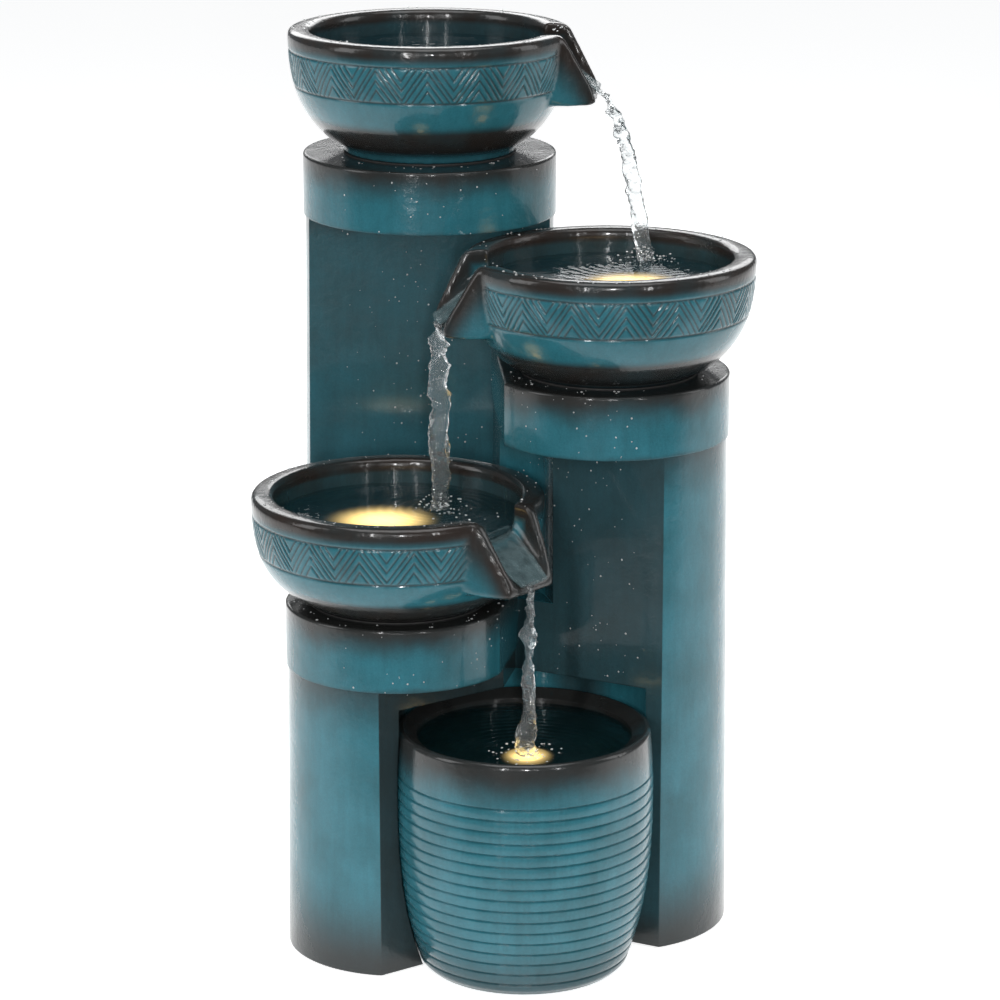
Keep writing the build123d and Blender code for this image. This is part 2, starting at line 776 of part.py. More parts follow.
with BuildPart() as dial:
    with BuildSketch(across(screen_front_x + dial_gap)):
        Circle(dial_radius)
        with PolarLocations(window_radius, window_count):
            Circle(window_hole_radius, mode=Mode.SUBTRACT)
    extrude(amount=dial_thickness)
    with BuildSketch(across(screen_front_x - screen_wall - dial_gap - hub_head)):
        Circle(hub_radius)
    extrude(amount=screen_wall + 2 * dial_gap + hub_head)
    with BuildSketch(across(screen_front_x - screen_wall - dial_gap - hub_head)):
        Circle(hub_radius + hub_lip)
    extrude(amount=hub_head)
    with BuildSketch(across(screen_front_x + dial_gap + dial_thickness)):
        Rectangle(2 * (dial_radius - grip_width), grip_width)
    extrude(amount=hub_radius)
save(dial.part, "flow_dial")

with BuildPart() as cups:
    cup_pitch_x = pump_motor_length - 2 * suction_cup_inset
    cup_pitch_y = pump_width - 2 * suction_cup_inset
    cups_middle = (block_back_x + pump_motor_length / 2, pump_y)
    with BuildSketch(Plane.XY.offset(floor_z)):
        with Locations(cups_middle):
            with GridLocations(cup_pitch_x, cup_pitch_y, 2, 2):
                Circle(suction_cup_radius)
    extrude(amount=suction_cup_skirt)
    with BuildSketch(Plane.XY.offset(floor_z + suction_cup_skirt)):
        with Locations(cups_middle):
            with GridLocations(cup_pitch_x, cup_pitch_y, 2, 2):
                Circle(suction_cup_stem)
    extrude(amount=suction_cup_height - suction_cup_skirt)
save(cups.part, "suction_cups")


# ---- Water pipes ----
elbow_end_y = pump_y + elbow_radius + barb_length
with BuildPart() as elbow:
    with BuildSketch(Plane((supply_x, pump_y, pump_top))):
        Circle(thread_radius)
    extrude(amount=flange_thickness)
    with BuildLine():
        path = FilletPolyline((supply_x, pump_y, pump_top), (supply_x, pump_y, supply_height),
                              (supply_x, elbow_end_y, supply_height), radius=elbow_radius)
    with BuildSketch(Plane((supply_x, pump_y, pump_top))):
        Circle(pipe_bore)
    sweep(path=path)
    with BuildSketch(Plane((supply_x, pump_y, pump_top))):
        Circle(barb_bore)
    sweep(path=path, mode=Mode.SUBTRACT)
save(elbow.part, "pump_outlet_elbow")

stem_start_y = supply_seat_y - seal_thickness - flange_thickness
fitting_barb_y = stem_start_y - barb_length
hose_low_y = elbow_end_y - barb_length + hose_clearance
with BuildPart() as pump_hose:
    with BuildSketch(facing_back(hose_low_y)):
        Circle(pipe_bore + pipe_wall)
        Circle(pipe_bore, mode=Mode.SUBTRACT)
    extrude(amount=stem_start_y - hose_clearance - hose_low_y)
save(pump_hose.part, "pump_hose")

stem_end_y = supply_nut_y + nut_thickness + stem_spare
with BuildPart() as wall_fitting:
    with BuildSketch(facing_back(fitting_barb_y)):
        Circle(pipe_bore)
    extrude(amount=stem_end_y + barb_length - fitting_barb_y)
    with BuildSketch(facing_back(stem_start_y)):
        Circle(flange_radius)
    extrude(amount=flange_thickness)
    with BuildSketch(facing_back(stem_start_y)):
        Circle(thread_radius)
    extrude(amount=stem_end_y - stem_start_y)
    with BuildSketch(facing_back(fitting_barb_y)):
        Circle(barb_bore)
    extrude(amount=stem_end_y + barb_length - fitting_barb_y, mode=Mode.SUBTRACT)
save(wall_fitting.part, "wall_fitting")

with BuildPart() as wall_seal:
    with BuildSketch(facing_back(supply_seat_y - seal_thickness)):
        Circle(flange_radius)
        Circle(thread_radius, mode=Mode.SUBTRACT)
    extrude(amount=seal_thickness)
save(wall_seal.part, "wall_fitting_seal")

with BuildPart() as wall_nut:
    with BuildSketch(facing_back(supply_nut_y)):
        RegularPolygon(nut_across_flats / 2, 6, major_radius=False)
        Circle(thread_radius, mode=Mode.SUBTRACT)
    extrude(amount=nut_thickness)
save(wall_nut.part, "wall_fitting_nut")

# The supply hose: chosen by hand, from the wall fitting back into the rear column and up to the riser.
hose_start_y = stem_end_y + hose_clearance
hose_route = [
    (supply_x, hose_start_y, supply_height),
    (supply_x, hose_start_y + 59, supply_height),
    (hose_crossing_x, rear.y - rear.flat_reach - column_wall, hose_crossing_z),
    (-14, rear.y + 4, 115),
    (-45, rear.y + 16, 152),
    (rear.x + 4, rear.y + 9, 200),
    (rear.x, rear.y, 250),
    (rear.x, rear.y, riser_foot - joiner_collar),
]


def bend_radii(points):
    """One radius for each corner of a route: as large as its two runs allow."""
    radii = []
    for before, corner, after in zip(points, points[1:], points[2:]):
        run_in = Vector(*corner) - Vector(*before)
        run_out = Vector(*after) - Vector(*corner)
        turn = radians(run_in.get_angle(run_out))
        radii.append(0.45 * min(run_in.length, run_out.length) / tan(turn / 2))
    return radii


hose_radii = bend_radii(hose_route)
print("supply hose bend radii:", [round(radius) for radius in hose_radii])
with BuildPart() as hose:
    with BuildLine():
        hose_path = FilletPolyline(*hose_route, radius=hose_radii)
    with BuildSketch(facing_back(hose_start_y)):
        Circle(pipe_bore + pipe_wall)
        Circle(pipe_bore, mode=Mode.SUBTRACT)
    sweep(path=hose_path)
save(hose.part, "supply_hose")

with BuildPart() as joiner:
    with BuildSketch(Plane((rear.x, rear.y, riser_foot - joiner_collar - barb_length))):
        Circle(pipe_bore)
    extrude(amount=joiner_collar + 2 * barb_length)
    with BuildSketch(Plane((rear.x, rear.y, riser_foot - joiner_collar))):
        Circle(pipe_bore + pipe_wall)
    extrude(amount=joiner_collar)
    with BuildSketch(Plane((rear.x, rear.y, riser_foot - joiner_collar - barb_length))):
        Circle(barb_bore)
    extrude(amount=joiner_collar + 2 * barb_length, mode=Mode.SUBTRACT)
save(joiner.part, "hose_joiner")

nut_top = rear.cap_top - cap_plate
inlet_barb_z = nut_top - nut_thickness - stem_spare - barb_length
with BuildPart() as riser:
    with BuildSketch(Plane((rear.x, rear.y, riser_foot))):
        Circle(pipe_bore + pipe_wall)
        Circle(pipe_bore, mode=Mode.SUBTRACT)
    extrude(amount=nut_top - nut_thickness - stem_spare - hose_clearance - riser_foot)
save(riser.part, "riser_pipe")

with BuildPart() as inlet:
    with BuildSketch(Plane((rear.x, rear.y, inlet_barb_z))):
        Circle(pipe_bore)
    extrude(amount=rear.floor_top + seal_thickness + flange_thickness + barb_length - inlet_barb_z)
    with BuildSketch(Plane((rear.x, rear.y, inlet_barb_z + barb_length))):
        Circle(thread_radius)
    extrude(amount=rear.floor_top + seal_thickness - inlet_barb_z - barb_length)
    with BuildSketch(Plane((rear.x, rear.y, rear.floor_top + seal_thickness))):
        Circle(flange_radius)
    extrude(amount=flange_thickness)
    with BuildSketch(Plane((rear.x, rear.y, inlet_barb_z))):
        Circle(barb_bore)
    extrude(amount=rear.floor_top + seal_thickness + flange_thickness + barb_length - inlet_barb_z,
            mode=Mode.SUBTRACT)
save(inlet.part, "top_inlet")

with BuildPart() as inlet_seal:
    with BuildSketch(Plane((rear.x, rear.y, rear.floor_top))):
        Circle(flange_radius)
        Circle(thread_radius, mode=Mode.SUBTRACT)
    extrude(amount=seal_thickness)
save(inlet_seal.part, "top_inlet_seal")

with BuildPart() as inlet_nut:
    with BuildSketch(Plane((rear.x, rear.y, nut_top - nut_thickness))):
        RegularPolygon(nut_across_flats / 2, 6, major_radius=False)
        Circle(thread_radius, mode=Mode.SUBTRACT)
    extrude(amount=nut_thickness)
save(inlet_nut.part, "top_inlet_nut")


# ---- Lamps: one in the middle bowl, one in the lower bowl, one on the pot's floor ----
def make_lamp(name, place, seat_z, stem_end_z):
    """A puck on a seal with a clear lens; its threaded stem carries the leads out, unless it has none."""
    x, y = place
    with BuildPart() as housing:
        with BuildSketch(Plane((x, y, seat_z + seal_thickness))):
            Circle(lamp_radius)
        extrude(amount=lamp_height - lamp_lens_height)
        if stem_end_z is not None:
            with BuildSketch(Plane((x, y, stem_end_z))):
                Circle(lamp_stem_radius)
            extrude(amount=seat_z + seal_thickness - stem_end_z)
            with BuildSketch(Plane((x, y, stem_end_z))):
                Circle(lead_bore)
            extrude(amount=seat_z + seal_thickness + 4 - stem_end_z, mode=Mode.SUBTRACT)
    save(housing.part, f"{name}_lamp_housing")

    with BuildPart() as lens:
        with BuildSketch(Plane((x, y, seat_z + seal_thickness + lamp_height - lamp_lens_height))):
            Circle(lamp_radius - 1.5)
        extrude(amount=lamp_lens_height)
        fillet(lens.faces().sort_by(Axis.Z)[-1].edges(), lamp_lens_height / 2)
    save(lens.part, f"{name}_lamp_lens")

    with BuildPart() as seal:
        with BuildSketch(Plane((x, y, seat_z))):
            Circle(lamp_radius)
            if stem_end_z is not None:
                Circle(lamp_stem_radius, mode=Mode.SUBTRACT)
        extrude(amount=seal_thickness)
    save(seal.part, f"{name}_lamp_seal")


for tier in (right, left):
    place = stem_place(tier, 0)[:2]
    under_plate = tier.cap_top - cap_plate
    make_lamp(tier.bowl_name, place, tier.floor_top, under_plate - nut_thickness - stem_spare)
    with BuildPart() as lamp_nut:
        with BuildSketch(Plane((*place, under_plate - nut_thickness))):
            RegularPolygon(lamp_nut_across_flats / 2, 6, major_radius=False)
            Circle(lamp_stem_radius, mode=Mode.SUBTRACT)
        extrude(amount=nut_thickness)
    save(lamp_nut.part, f"{tier.bowl_name}_lamp_nut")

make_lamp("pot", (pot_x, pot_y - pot_lamp_forward), floor_z, None)


# ---- Wiring: the junction box inside the rear column and the cord's grommet ----
box_x = rear.x - box_left_of_axis
box_y = rear.y + box_behind_axis
box_low = foot_pad_height + cover_plate
with BuildPart() as junction_box:
    with BuildSketch(Plane((box_x, box_y, box_low))):
        RectangleRounded(box_length, box_width, box_corner)
    extrude(amount=box_height)
    with BuildSketch(Plane((box_x, box_y, box_low + box_wall))):
        RectangleRounded(box_length - 2 * box_wall, box_width - 2 * box_wall, box_corner - box_wall)
    extrude(amount=box_height, mode=Mode.SUBTRACT)
    with BuildSketch(Plane((box_x, box_y, box_low + box_height / 2), x_dir=(0, 1, 0), z_dir=(1, 0, 0))):
        with GridLocations(lead_pitch, 0, 2, 1):
            Circle(lead_bore)
    extrude(amount=box_length, mode=Mode.SUBTRACT)
save(junction_box.part, "junction_box")

with BuildPart() as junction_lid:
    with BuildSketch(Plane((box_x, box_y, box_low + box_height))):
        RectangleRounded(box_length, box_width, box_corner)
    extrude(amount=lid_thickness)
save(junction_lid.part, "junction_box_lid")

draft_at_cord = (rear.cap_low - cord_height) * tan(radians(draft_angle))
wall_outside = rear.cap_radius - cap_overhang + draft_at_cord + grommet_bed
wall_inside = wall_outside - column_wall - 5 * grommet_bed
with BuildPart() as grommet:
    with BuildSketch(Plane((rear.x, rear.y + wall_inside, cord_height), x_dir=(-1, 0, 0), z_dir=(0, 1, 0))):
        Circle(grommet_groove)
    extrude(amount=wall_outside - wall_inside)
    with BuildSketch(Plane((rear.x, rear.y + wall_inside - grommet_lip, cord_height), x_dir=(-1, 0, 0),
                           z_dir=(0, 1, 0))):
        Circle(grommet_radius)
    extrude(amount=grommet_lip)
    with BuildSketch(Plane((rear.x, rear.y + wall_outside, cord_height), x_dir=(-1, 0, 0), z_dir=(0, 1, 0))):
        Circle(grommet_radius)
    extrude(amount=grommet_lip)
    with BuildSketch(Plane((rear.x, rear.y + wall_inside - grommet_lip, cord_height), x_dir=(-1, 0, 0),
                           z_dir=(0, 1, 0))):
        Circle(cord_bore)
    extrude(amount=wall_outside - wall_inside + 2 * grommet_lip, mode=Mode.SUBTRACT)
save(grommet.part, "cord_grommet")
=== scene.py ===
"""Cascading water fountain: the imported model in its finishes, with its carved bowls and running water."""

import json
import logging
from dataclasses import dataclass, field
from enum import Enum
from functools import cached_property
from math import atan2, cos, pi, radians, sin, tau

import bmesh
import bpy
import numpy as np
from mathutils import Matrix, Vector, noise
from mathutils.bvhtree import BVHTree


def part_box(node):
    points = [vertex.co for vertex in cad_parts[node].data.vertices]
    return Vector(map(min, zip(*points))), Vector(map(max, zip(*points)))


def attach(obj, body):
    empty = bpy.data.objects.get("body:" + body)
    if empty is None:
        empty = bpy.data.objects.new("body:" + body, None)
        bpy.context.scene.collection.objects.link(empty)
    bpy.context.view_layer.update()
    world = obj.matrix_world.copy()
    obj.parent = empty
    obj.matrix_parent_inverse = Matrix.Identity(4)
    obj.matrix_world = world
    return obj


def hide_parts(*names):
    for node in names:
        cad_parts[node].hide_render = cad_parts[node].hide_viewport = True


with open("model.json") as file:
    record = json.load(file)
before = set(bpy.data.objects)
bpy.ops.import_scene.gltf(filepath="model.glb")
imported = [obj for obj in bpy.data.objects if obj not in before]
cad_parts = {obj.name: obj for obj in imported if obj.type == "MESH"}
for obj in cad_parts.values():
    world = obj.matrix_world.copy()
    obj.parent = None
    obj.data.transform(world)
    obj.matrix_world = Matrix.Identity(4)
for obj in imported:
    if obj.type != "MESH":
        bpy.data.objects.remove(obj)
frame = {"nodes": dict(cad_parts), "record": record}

log = logging.getLogger("fountain")
logging.basicConfig(level=logging.INFO, format="%(name)s: %(message)s")

MM = 0.001
BODY = "fountain"
Triple = tuple[float, float, float]


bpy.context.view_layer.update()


# ---- Small tools ----
def linear(hex_colour: str, alpha: float = 1.0) -> tuple[float, float, float, float]:
    """Turn an sRGB hex colour into the linear colour that shaders use.

    Args:
        hex_colour: six hex digits after a hash.
        alpha: the fourth value.

    Returns:
        Red, green, blue and alpha.
    """
    channels = [int(hex_colour[i : i + 2], 16) / 255 for i in (1, 3, 5)]
    red, green, blue = (c / 12.92 if c <= 0.04045 else ((c + 0.055) / 1.055) ** 2.4 for c in channels)
    return red, green, blue, alpha


def add_node(tree: bpy.types.NodeTree, kind: str, inputs: dict | None = None, **settings) -> bpy.types.Node:
    """Add one shader node, set it up and link it.

    Args:
        tree: the material's node tree.
        kind: the node's type name.
        inputs: for each input, a value or the output socket that feeds it.
        settings: the node's own properties.

    Returns:
        The new node.
    """
    node = tree.nodes.new(kind)
    for name, value in settings.items():
        setattr(node, name, value)
    for key, value in (inputs or {}).items():
        if isinstance(value, bpy.types.NodeSocket):
            tree.links.new(value, node.inputs[key])
        else:
            node.inputs[key].default_value = value
    return node


def smooth_step(values: np.ndarray, low: float, high: float) -> np.ndarray:
    """0 at low, 1 at high, with soft ends; low may be the larger."""
    share = np.clip((values - low) / (high - low), 0, 1)
    return share * share * (3 - 2 * share)


def read_points(mesh: bpy.types.Mesh) -> np.ndarray:
    """A mesh's vertices in millimetres, one row each."""
    flat = np.empty(len(mesh.vertices) * 3)
    mesh.vertices.foreach_get("co", flat)
    return flat.reshape(-1, 3) / MM


def write_points(mesh: bpy.types.Mesh, points: np.ndarray) -> None:
    """Put a mesh's vertices where the rows say, in millimetres."""
    mesh.vertices.foreach_set("co", (points * MM).ravel())
    mesh.update()


def write_attribute(mesh: bpy.types.Mesh, name: str, values: np.ndarray) -> None:
    """Keep one number for each vertex under a name."""
    mesh.attributes.new(name, "FLOAT", "POINT").data.foreach_set("value", values.astype(np.float32))


def make_piece(name: str, bm: bmesh.types.BMesh, material: bpy.types.Material) -> bpy.types.Object:
    """Turn a finished bmesh into a smooth piece that rides on the fountain.

    Args:
        name: the piece's name.
        bm: its shape, in metres, which is freed.
        material: its finish.

    Returns:
        The new object.
    """
    mesh = bpy.data.meshes.new(name)
    bm.to_mesh(mesh)
    bm.free()
    return place_piece(name, mesh, material)


def place_piece(name: str, mesh: bpy.types.Mesh, material: bpy.types.Material) -> bpy.types.Object:
    """Link a mesh as a smooth piece that rides on the fountain."""
    mesh.shade_smooth()
    mesh.materials.clear()
    mesh.materials.append(material)
    piece = bpy.data.objects.new(name, mesh)
    bpy.context.scene.collection.objects.link(piece)
    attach(piece, BODY)
    log.info("%s: %d vertices", name, len(mesh.vertices))
    return piece


# ---- Finishes ----
@dataclass(frozen=True)
class Zone:
    """A stretch of height over which the dark paint comes in."""

    clean: float  # height in millimetres where there is none
    dark: float  # height where it is full
    most: float = 1.0


@dataclass(frozen=True)
class ShadedFacet:
    """A flat side that gets painted shade, darker than the round ones."""

    bearing: float  # the way it looks, in degrees
    most: float


@dataclass(frozen=True)
class Glow:
    """Painted light: the warm light that a lamp under water throws on what is round it, painted on as glow."""

    centre: Triple  # millimetres
    reach: float
    strength: float


@dataclass(frozen=True)
class GlazedResin:
    """Cast polyresin, painted teal over black by hand and lacquered: deep, wet and a little uneven."""

    teal: str = "#29626e"
    deep: str = "#20545e"
    # black: the black paint, and also the colour of the painted shade.
    black: str = "#251e1a"
    mottle: float = 45.0  # size of the cloudy patches in millimetres
    wander: float = 16.0  # how far up and down the edge of the black paint strays
    streak: float = 5.0  # width of a brush mark
    fineness: float = 0.55  # how strong the finer octaves of every pattern are
    grain: float = 1.6  # speckle of the sprayed paint, as fine as shows
    peel: float = 5.0  # orange peel in the lacquer
    peel_depth: float = 0.3
    swell: float = 38.0  # slow unevenness of the casting
    swell_depth: float = 0.9
    roughness: float = 0.2
    coat: float = 0.34  # share of the lacquer's own gloss
    coat_roughness: float = 0.06
    ior: float = 1.45
    specular: float = 0.28
    worn_edge: float = 2.0  # how far the paint's soft edges reach
    facet_start: float = 0.955  # cosine at which a flat side's painted shade begins
    facet_full: float = 0.995
    # lamp_light: colour of the painted light from the lamps.
    lamp_light: str = "#ffd988"

    def noise(
        self, tree: bpy.types.NodeTree, at: bpy.types.NodeSocket, size: float, detail: float = 3.0
    ) -> bpy.types.NodeSocket:
        """A noise pattern whose features have a real size.

        Args:
            tree: the node tree.
            at: the coordinates.
            size: the features' size in millimetres.
            detail: how many octaves.

        Returns:
            The pattern's value.
        """
        inputs = {"Vector": at, "Scale": 1 / (size * MM), "Detail": detail, "Roughness": self.fineness}
        return add_node(tree, "ShaderNodeTexNoise", inputs).outputs["Fac"]

    def darkness(self, tree: bpy.types.NodeTree, at: bpy.types.NodeSocket, zones: tuple[Zone, ...],
                 attribute: str | None) -> bpy.types.NodeSocket:
        """How much black paint lies at a point from its height, and how much black paint and painted shade from
        a painted attribute.
        """
        height = add_node(tree, "ShaderNodeSeparateXYZ", {0: at}).outputs["Z"]
        wander = self.noise(tree, at, self.mottle)
        stray = {0: wander, 1: self.wander * MM, 2: height}
        shifted = add_node(tree, "ShaderNodeMath", stray, operation="MULTIPLY_ADD")
        most = None
        for zone in zones:
            ends = {
                "Value": shifted.outputs[0],
                "From Min": (zone.clean + self.wander / 2) * MM,
                "From Max": (zone.dark + self.wander / 2) * MM,
                "To Max": zone.most,
            }
            part = add_node(tree, "ShaderNodeMapRange", ends, interpolation_type="SMOOTHSTEP").outputs["Result"]
            if most is not None:
                part = add_node(tree, "ShaderNodeMath", {0: most, 1: part}, operation="MAXIMUM").outputs[0]
            most = part
        if attribute:
            # The attribute holds black paint and painted shade; its edge is made ragged.
            painted = add_node(tree, "ShaderNodeAttribute", attribute_name=attribute).outputs["Fac"]
            ragged = add_node(tree, "ShaderNodeMath", {0: wander, 1: 0.3, 2: -0.15}, operation="MULTIPLY_ADD")
            part = add_node(tree, "ShaderNodeMath", {0: ragged.outputs[0], 1: painted, 2: painted},
                            operation="MULTIPLY_ADD", use_clamp=True).outputs[0]
            if most is not None:
                part = add_node(tree, "ShaderNodeMath", {0: most, 1: part}, operation="MAXIMUM").outputs[0]
            most = part
        return most

    def shade_facets(self, tree: bpy.types.NodeTree, dark: bpy.types.NodeSocket,
                     facets: tuple[ShadedFacet, ...]) -> bpy.types.NodeSocket:
        """Paint shade on the sides that look a given way, and return the new darkness."""
        normal = add_node(tree, "ShaderNodeTexCoord").outputs["Normal"]
        for facet in facets:
            way = (cos(radians(facet.bearing)), sin(radians(facet.bearing)), 0)
            facing = add_node(tree, "ShaderNodeVectorMath", {0: normal, 1: way}, operation="DOT_PRODUCT")
            ends = {
                "Value": facing.outputs["Value"],
                "From Min": self.facet_start,
                "From Max": self.facet_full,
                "To Max": facet.most,
            }
            part = add_node(tree, "ShaderNodeMapRange", ends)
            dark = add_node(tree, "ShaderNodeMath", {0: dark, 1: part.outputs["Result"]},
                            operation="MAXIMUM").outputs[0]
        return dark

    def build(self, name: str, zones: tuple[Zone, ...], attribute: str | None = None, glow: Glow | None = None,
              facets: tuple[ShadedFacet, ...] = ()) -> bpy.types.Material:
        """Make the finish for one casting.

        Args:
            name: the material's name.
            zones: the heights at which the casting is painted black.
            attribute: the piece's own map of black paint and painted shade.
            glow: painted light from a lamp under the water.
            facets: flat sides that get painted shade.

        Returns:
            The material.
        """
        material = bpy.data.materials.new(name)
        material.use_nodes = True
        tree = material.node_tree
        shader = tree.nodes["Principled BSDF"]
        at = add_node(tree, "ShaderNodeTexCoord").outputs["Object"]
        brush = add_node(tree, "ShaderNodeMapping", {"Vector": at, "Scale": (1, 1, 0.12)}).outputs["Vector"]
        clouds = self.noise(tree, at, self.mottle, 5.0)
        marks = self.noise(tree, brush, self.streak)
        speckle = self.noise(tree, at, self.grain, 1.0)
        cloudy = add_node(tree, "ShaderNodeMapRange", {"Value": clouds, "From Min": 0.36, "From Max": 0.68})
        paint = add_node(tree, "ShaderNodeMix", data_type="RGBA")
        set_mix(paint, cloudy.outputs["Result"], linear(self.teal), linear(self.deep), tree)
        uneven = add_node(tree, "ShaderNodeMath", {0: marks, 1: speckle}, operation="ADD").outputs[0]
        lift = add_node(tree, "ShaderNodeMapRange", {"Value": uneven, "From Min": 0.7, "From Max": 1.3,
                                                      "To Min": 0.9, "To Max": 1.1}).outputs["Result"]
        toned = add_node(tree, "ShaderNodeHueSaturation", {"Value": lift, "Color": mix_out(paint)})
        # dark: black paint by height, black paint and painted shade from the attribute, and painted shade on
        # the flat sides
        dark = self.shade_facets(tree, self.darkness(tree, at, zones, attribute), facets)
        colour = add_node(tree, "ShaderNodeMix", data_type="RGBA")
        set_mix(colour, dark, toned.outputs["Color"], linear(self.black), tree)
        tree.links.new(mix_out(colour), shader.inputs["Base Color"])
        ends = {"Value": clouds, "From Min": 0.3, "From Max": 0.7, "To Min": self.roughness - 0.03,
                "To Max": self.roughness + 0.07}
        wet = add_node(tree, "ShaderNodeMapRange", ends)
        tree.links.new(wet.outputs["Result"], shader.inputs["Roughness"])
        edges = add_node(tree, "ShaderNodeBevel", {"Radius": self.worn_edge * MM}, samples=4).outputs["Normal"]
        slow = add_node(tree, "ShaderNodeBump", {"Height": self.noise(tree, at, self.swell, 2.0),
                                                  "Distance": self.swell_depth * MM, "Normal": edges})
        ends = {"Height": self.noise(tree, at, self.peel, 2.0), "Distance": self.peel_depth * MM,
                "Normal": slow.outputs["Normal"]}
        fine = add_node(tree, "ShaderNodeBump", ends)
        tree.links.new(fine.outputs["Normal"], shader.inputs["Normal"])
        shader.inputs["Coat Weight"].default_value = self.coat
        shader.inputs["Coat Roughness"].default_value = self.coat_roughness
        shader.inputs["IOR"].default_value = self.ior
        shader.inputs["Specular IOR Level"].default_value = self.specular
        if glow:
            self.light_up(tree, shader, at, glow)
        return material

    def light_up(
        self, tree: bpy.types.NodeTree, shader: bpy.types.Node, at: bpy.types.NodeSocket, glow: Glow
    ) -> None:
        """Add the painted light of a lamp under water as glow, strongest close to it."""
        away = add_node(tree, "ShaderNodeVectorMath", {0: at, 1: tuple(v * MM for v in glow.centre)},
                        operation="DISTANCE")
        lit = add_node(tree, "ShaderNodeMapRange", {"Value": away.outputs["Value"], "From Min": glow.reach * MM,
                                                     "From Max": 0.0, "To Max": glow.strength},
                       interpolation_type="SMOOTHERSTEP")
        shader.inputs["Emission Color"].default_value = linear(self.lamp_light)
        tree.links.new(lit.outputs["Result"], shader.inputs["Emission Strength"])


def set_mix(node: bpy.types.Node, factor, first, second, tree: bpy.types.NodeTree) -> None:
    """Feed a colour Mix node, whose colour sockets share their names with its number sockets."""
    sockets = [s for s in node.inputs if s.enabled]
    for socket, value in zip(sockets, (factor, first, second)):
        if isinstance(value, bpy.types.NodeSocket):
            tree.links.new(value, socket)
        else:
            socket.default_value = value


def mix_out(node: bpy.types.Node) -> bpy.types.NodeSocket:
    """The colour output of a Mix node."""
    return next(s for s in node.outputs if s.enabled)


@dataclass(frozen=True)
class PlainFinish:
    """A moulded, drawn or turned material: one colour with its own grain, sheen and slight wear."""

    name: str
    colour: str
    worn: str
    grain: float  # millimetres
    depth: float
    roughness: float
    metallic: float = 0.0
    transmission: float = 0.0
    ior: float = 1.5
    glow: float = 0.0

    def build(self) -> bpy.types.Material:
        """Make the material."""
        material = bpy.data.materials.new(self.name)
        material.use_nodes = True
        tree = material.node_tree
        shader = tree.nodes["Principled BSDF"]
        at = add_node(tree, "ShaderNodeTexCoord").outputs["Object"]
        size = 1 / (self.grain * MM)
        grain = add_node(tree, "ShaderNodeTexNoise", {"Vector": at, "Scale": size, "Detail": 2.0})
        cloud = add_node(tree, "ShaderNodeTexNoise", {"Vector": at, "Scale": 1 / (12 * self.grain * MM)})
        wear = add_node(tree, "ShaderNodeMapRange", {"Value": cloud.outputs["Fac"], "From Min": 0.45,
                                                      "From Max": 0.75}).outputs["Result"]
        colour = add_node(tree, "ShaderNodeMix", data_type="RGBA")
        set_mix(colour, wear, linear(self.colour), linear(self.worn), tree)
        tree.links.new(mix_out(colour), shader.inputs["Base Color"])
        ends = {"Value": grain.outputs["Fac"], "To Min": self.roughness - 0.05, "To Max": self.roughness + 0.1}
        gloss = add_node(tree, "ShaderNodeMapRange", ends).outputs["Result"]
        tree.links.new(gloss, shader.inputs["Roughness"])
        bump = add_node(tree, "ShaderNodeBump", {"Height": grain.outputs["Fac"], "Distance": self.depth * MM})
        tree.links.new(bump.outputs["Normal"], shader.inputs["Normal"])
        shader.inputs["Metallic"].default_value = self.metallic
        shader.inputs["Transmission Weight"].default_value = self.transmission
        shader.inputs["IOR"].default_value = self.ior
        if self.glow:
            shader.inputs["Emission Color"].default_value = linear("#ffd27a")
            shader.inputs["Emission Strength"].default_value = self.glow
        return material


# Each record slot with what it is made of and what that gives the eye.
SLOT_FINISHES = {
    # Primed fibre board: flat grey-black with a fibrous grain.
    "base_board": PlainFinish("PrimedFibreBoard", "#2b2b2c", "#3a3937", 1.2, 0.1, 0.7),
    # Moulded nitrile rubber: matt black with a dusty bloom.
    "rubber": PlainFinish("MouldedRubber", "#161616", "#262524", 0.8, 0.04, 0.62),
    # Zinc-plated steel: pale, slightly blue and dulled in patches.
    "steel_screws": PlainFinish("ZincPlatedSteel", "#b9bcc0", "#8d8c86", 0.5, 0.02, 0.32, metallic=1.0),
    # Ground alumina ceramic: clean white and hard.
    "ceramic_shaft": PlainFinish("GroundCeramic", "#ecebe6", "#dedbd2", 0.4, 0.01, 0.2),
    # Sintered ferrite: charcoal grey with a fine grit.
    "ferrite_magnet": PlainFinish("SinteredFerrite", "#3b3b3f", "#2c2c2f", 0.6, 0.03, 0.45),
    # Clear polycarbonate over a warm white diode: it shines from inside.
    "clear_lens": PlainFinish("LitPolycarbonate", "#fff1cf", "#ffe6b0", 2.0, 0.02, 0.12, ior=1.58, glow=14.0),
    # Glass-filled nylon: black with a faint flow grain.
    "fitting_plastic": PlainFinish("MouldedNylon", "#17181a", "#242526", 0.7, 0.03, 0.42),
    # Soft vinyl tube: milky, glossy and faintly yellow.
    "vinyl_hose": PlainFinish("SoftVinyl", "#cfd3cc", "#bfc2b4", 3.0, 0.05, 0.22, transmission=0.5, ior=1.53),
    # Extruded PVC pipe: plain white with long dull patches.
    "white_pipe": PlainFinish("ExtrudedPVC", "#e4e3dc", "#d3d1c6", 1.5, 0.02, 0.3),
    # Moulded ABS: black with a satin spark-eroded texture.
    "pump_plastic": PlainFinish("MouldedABS", "#141517", "#202224", 0.9, 0.05, 0.38),
}


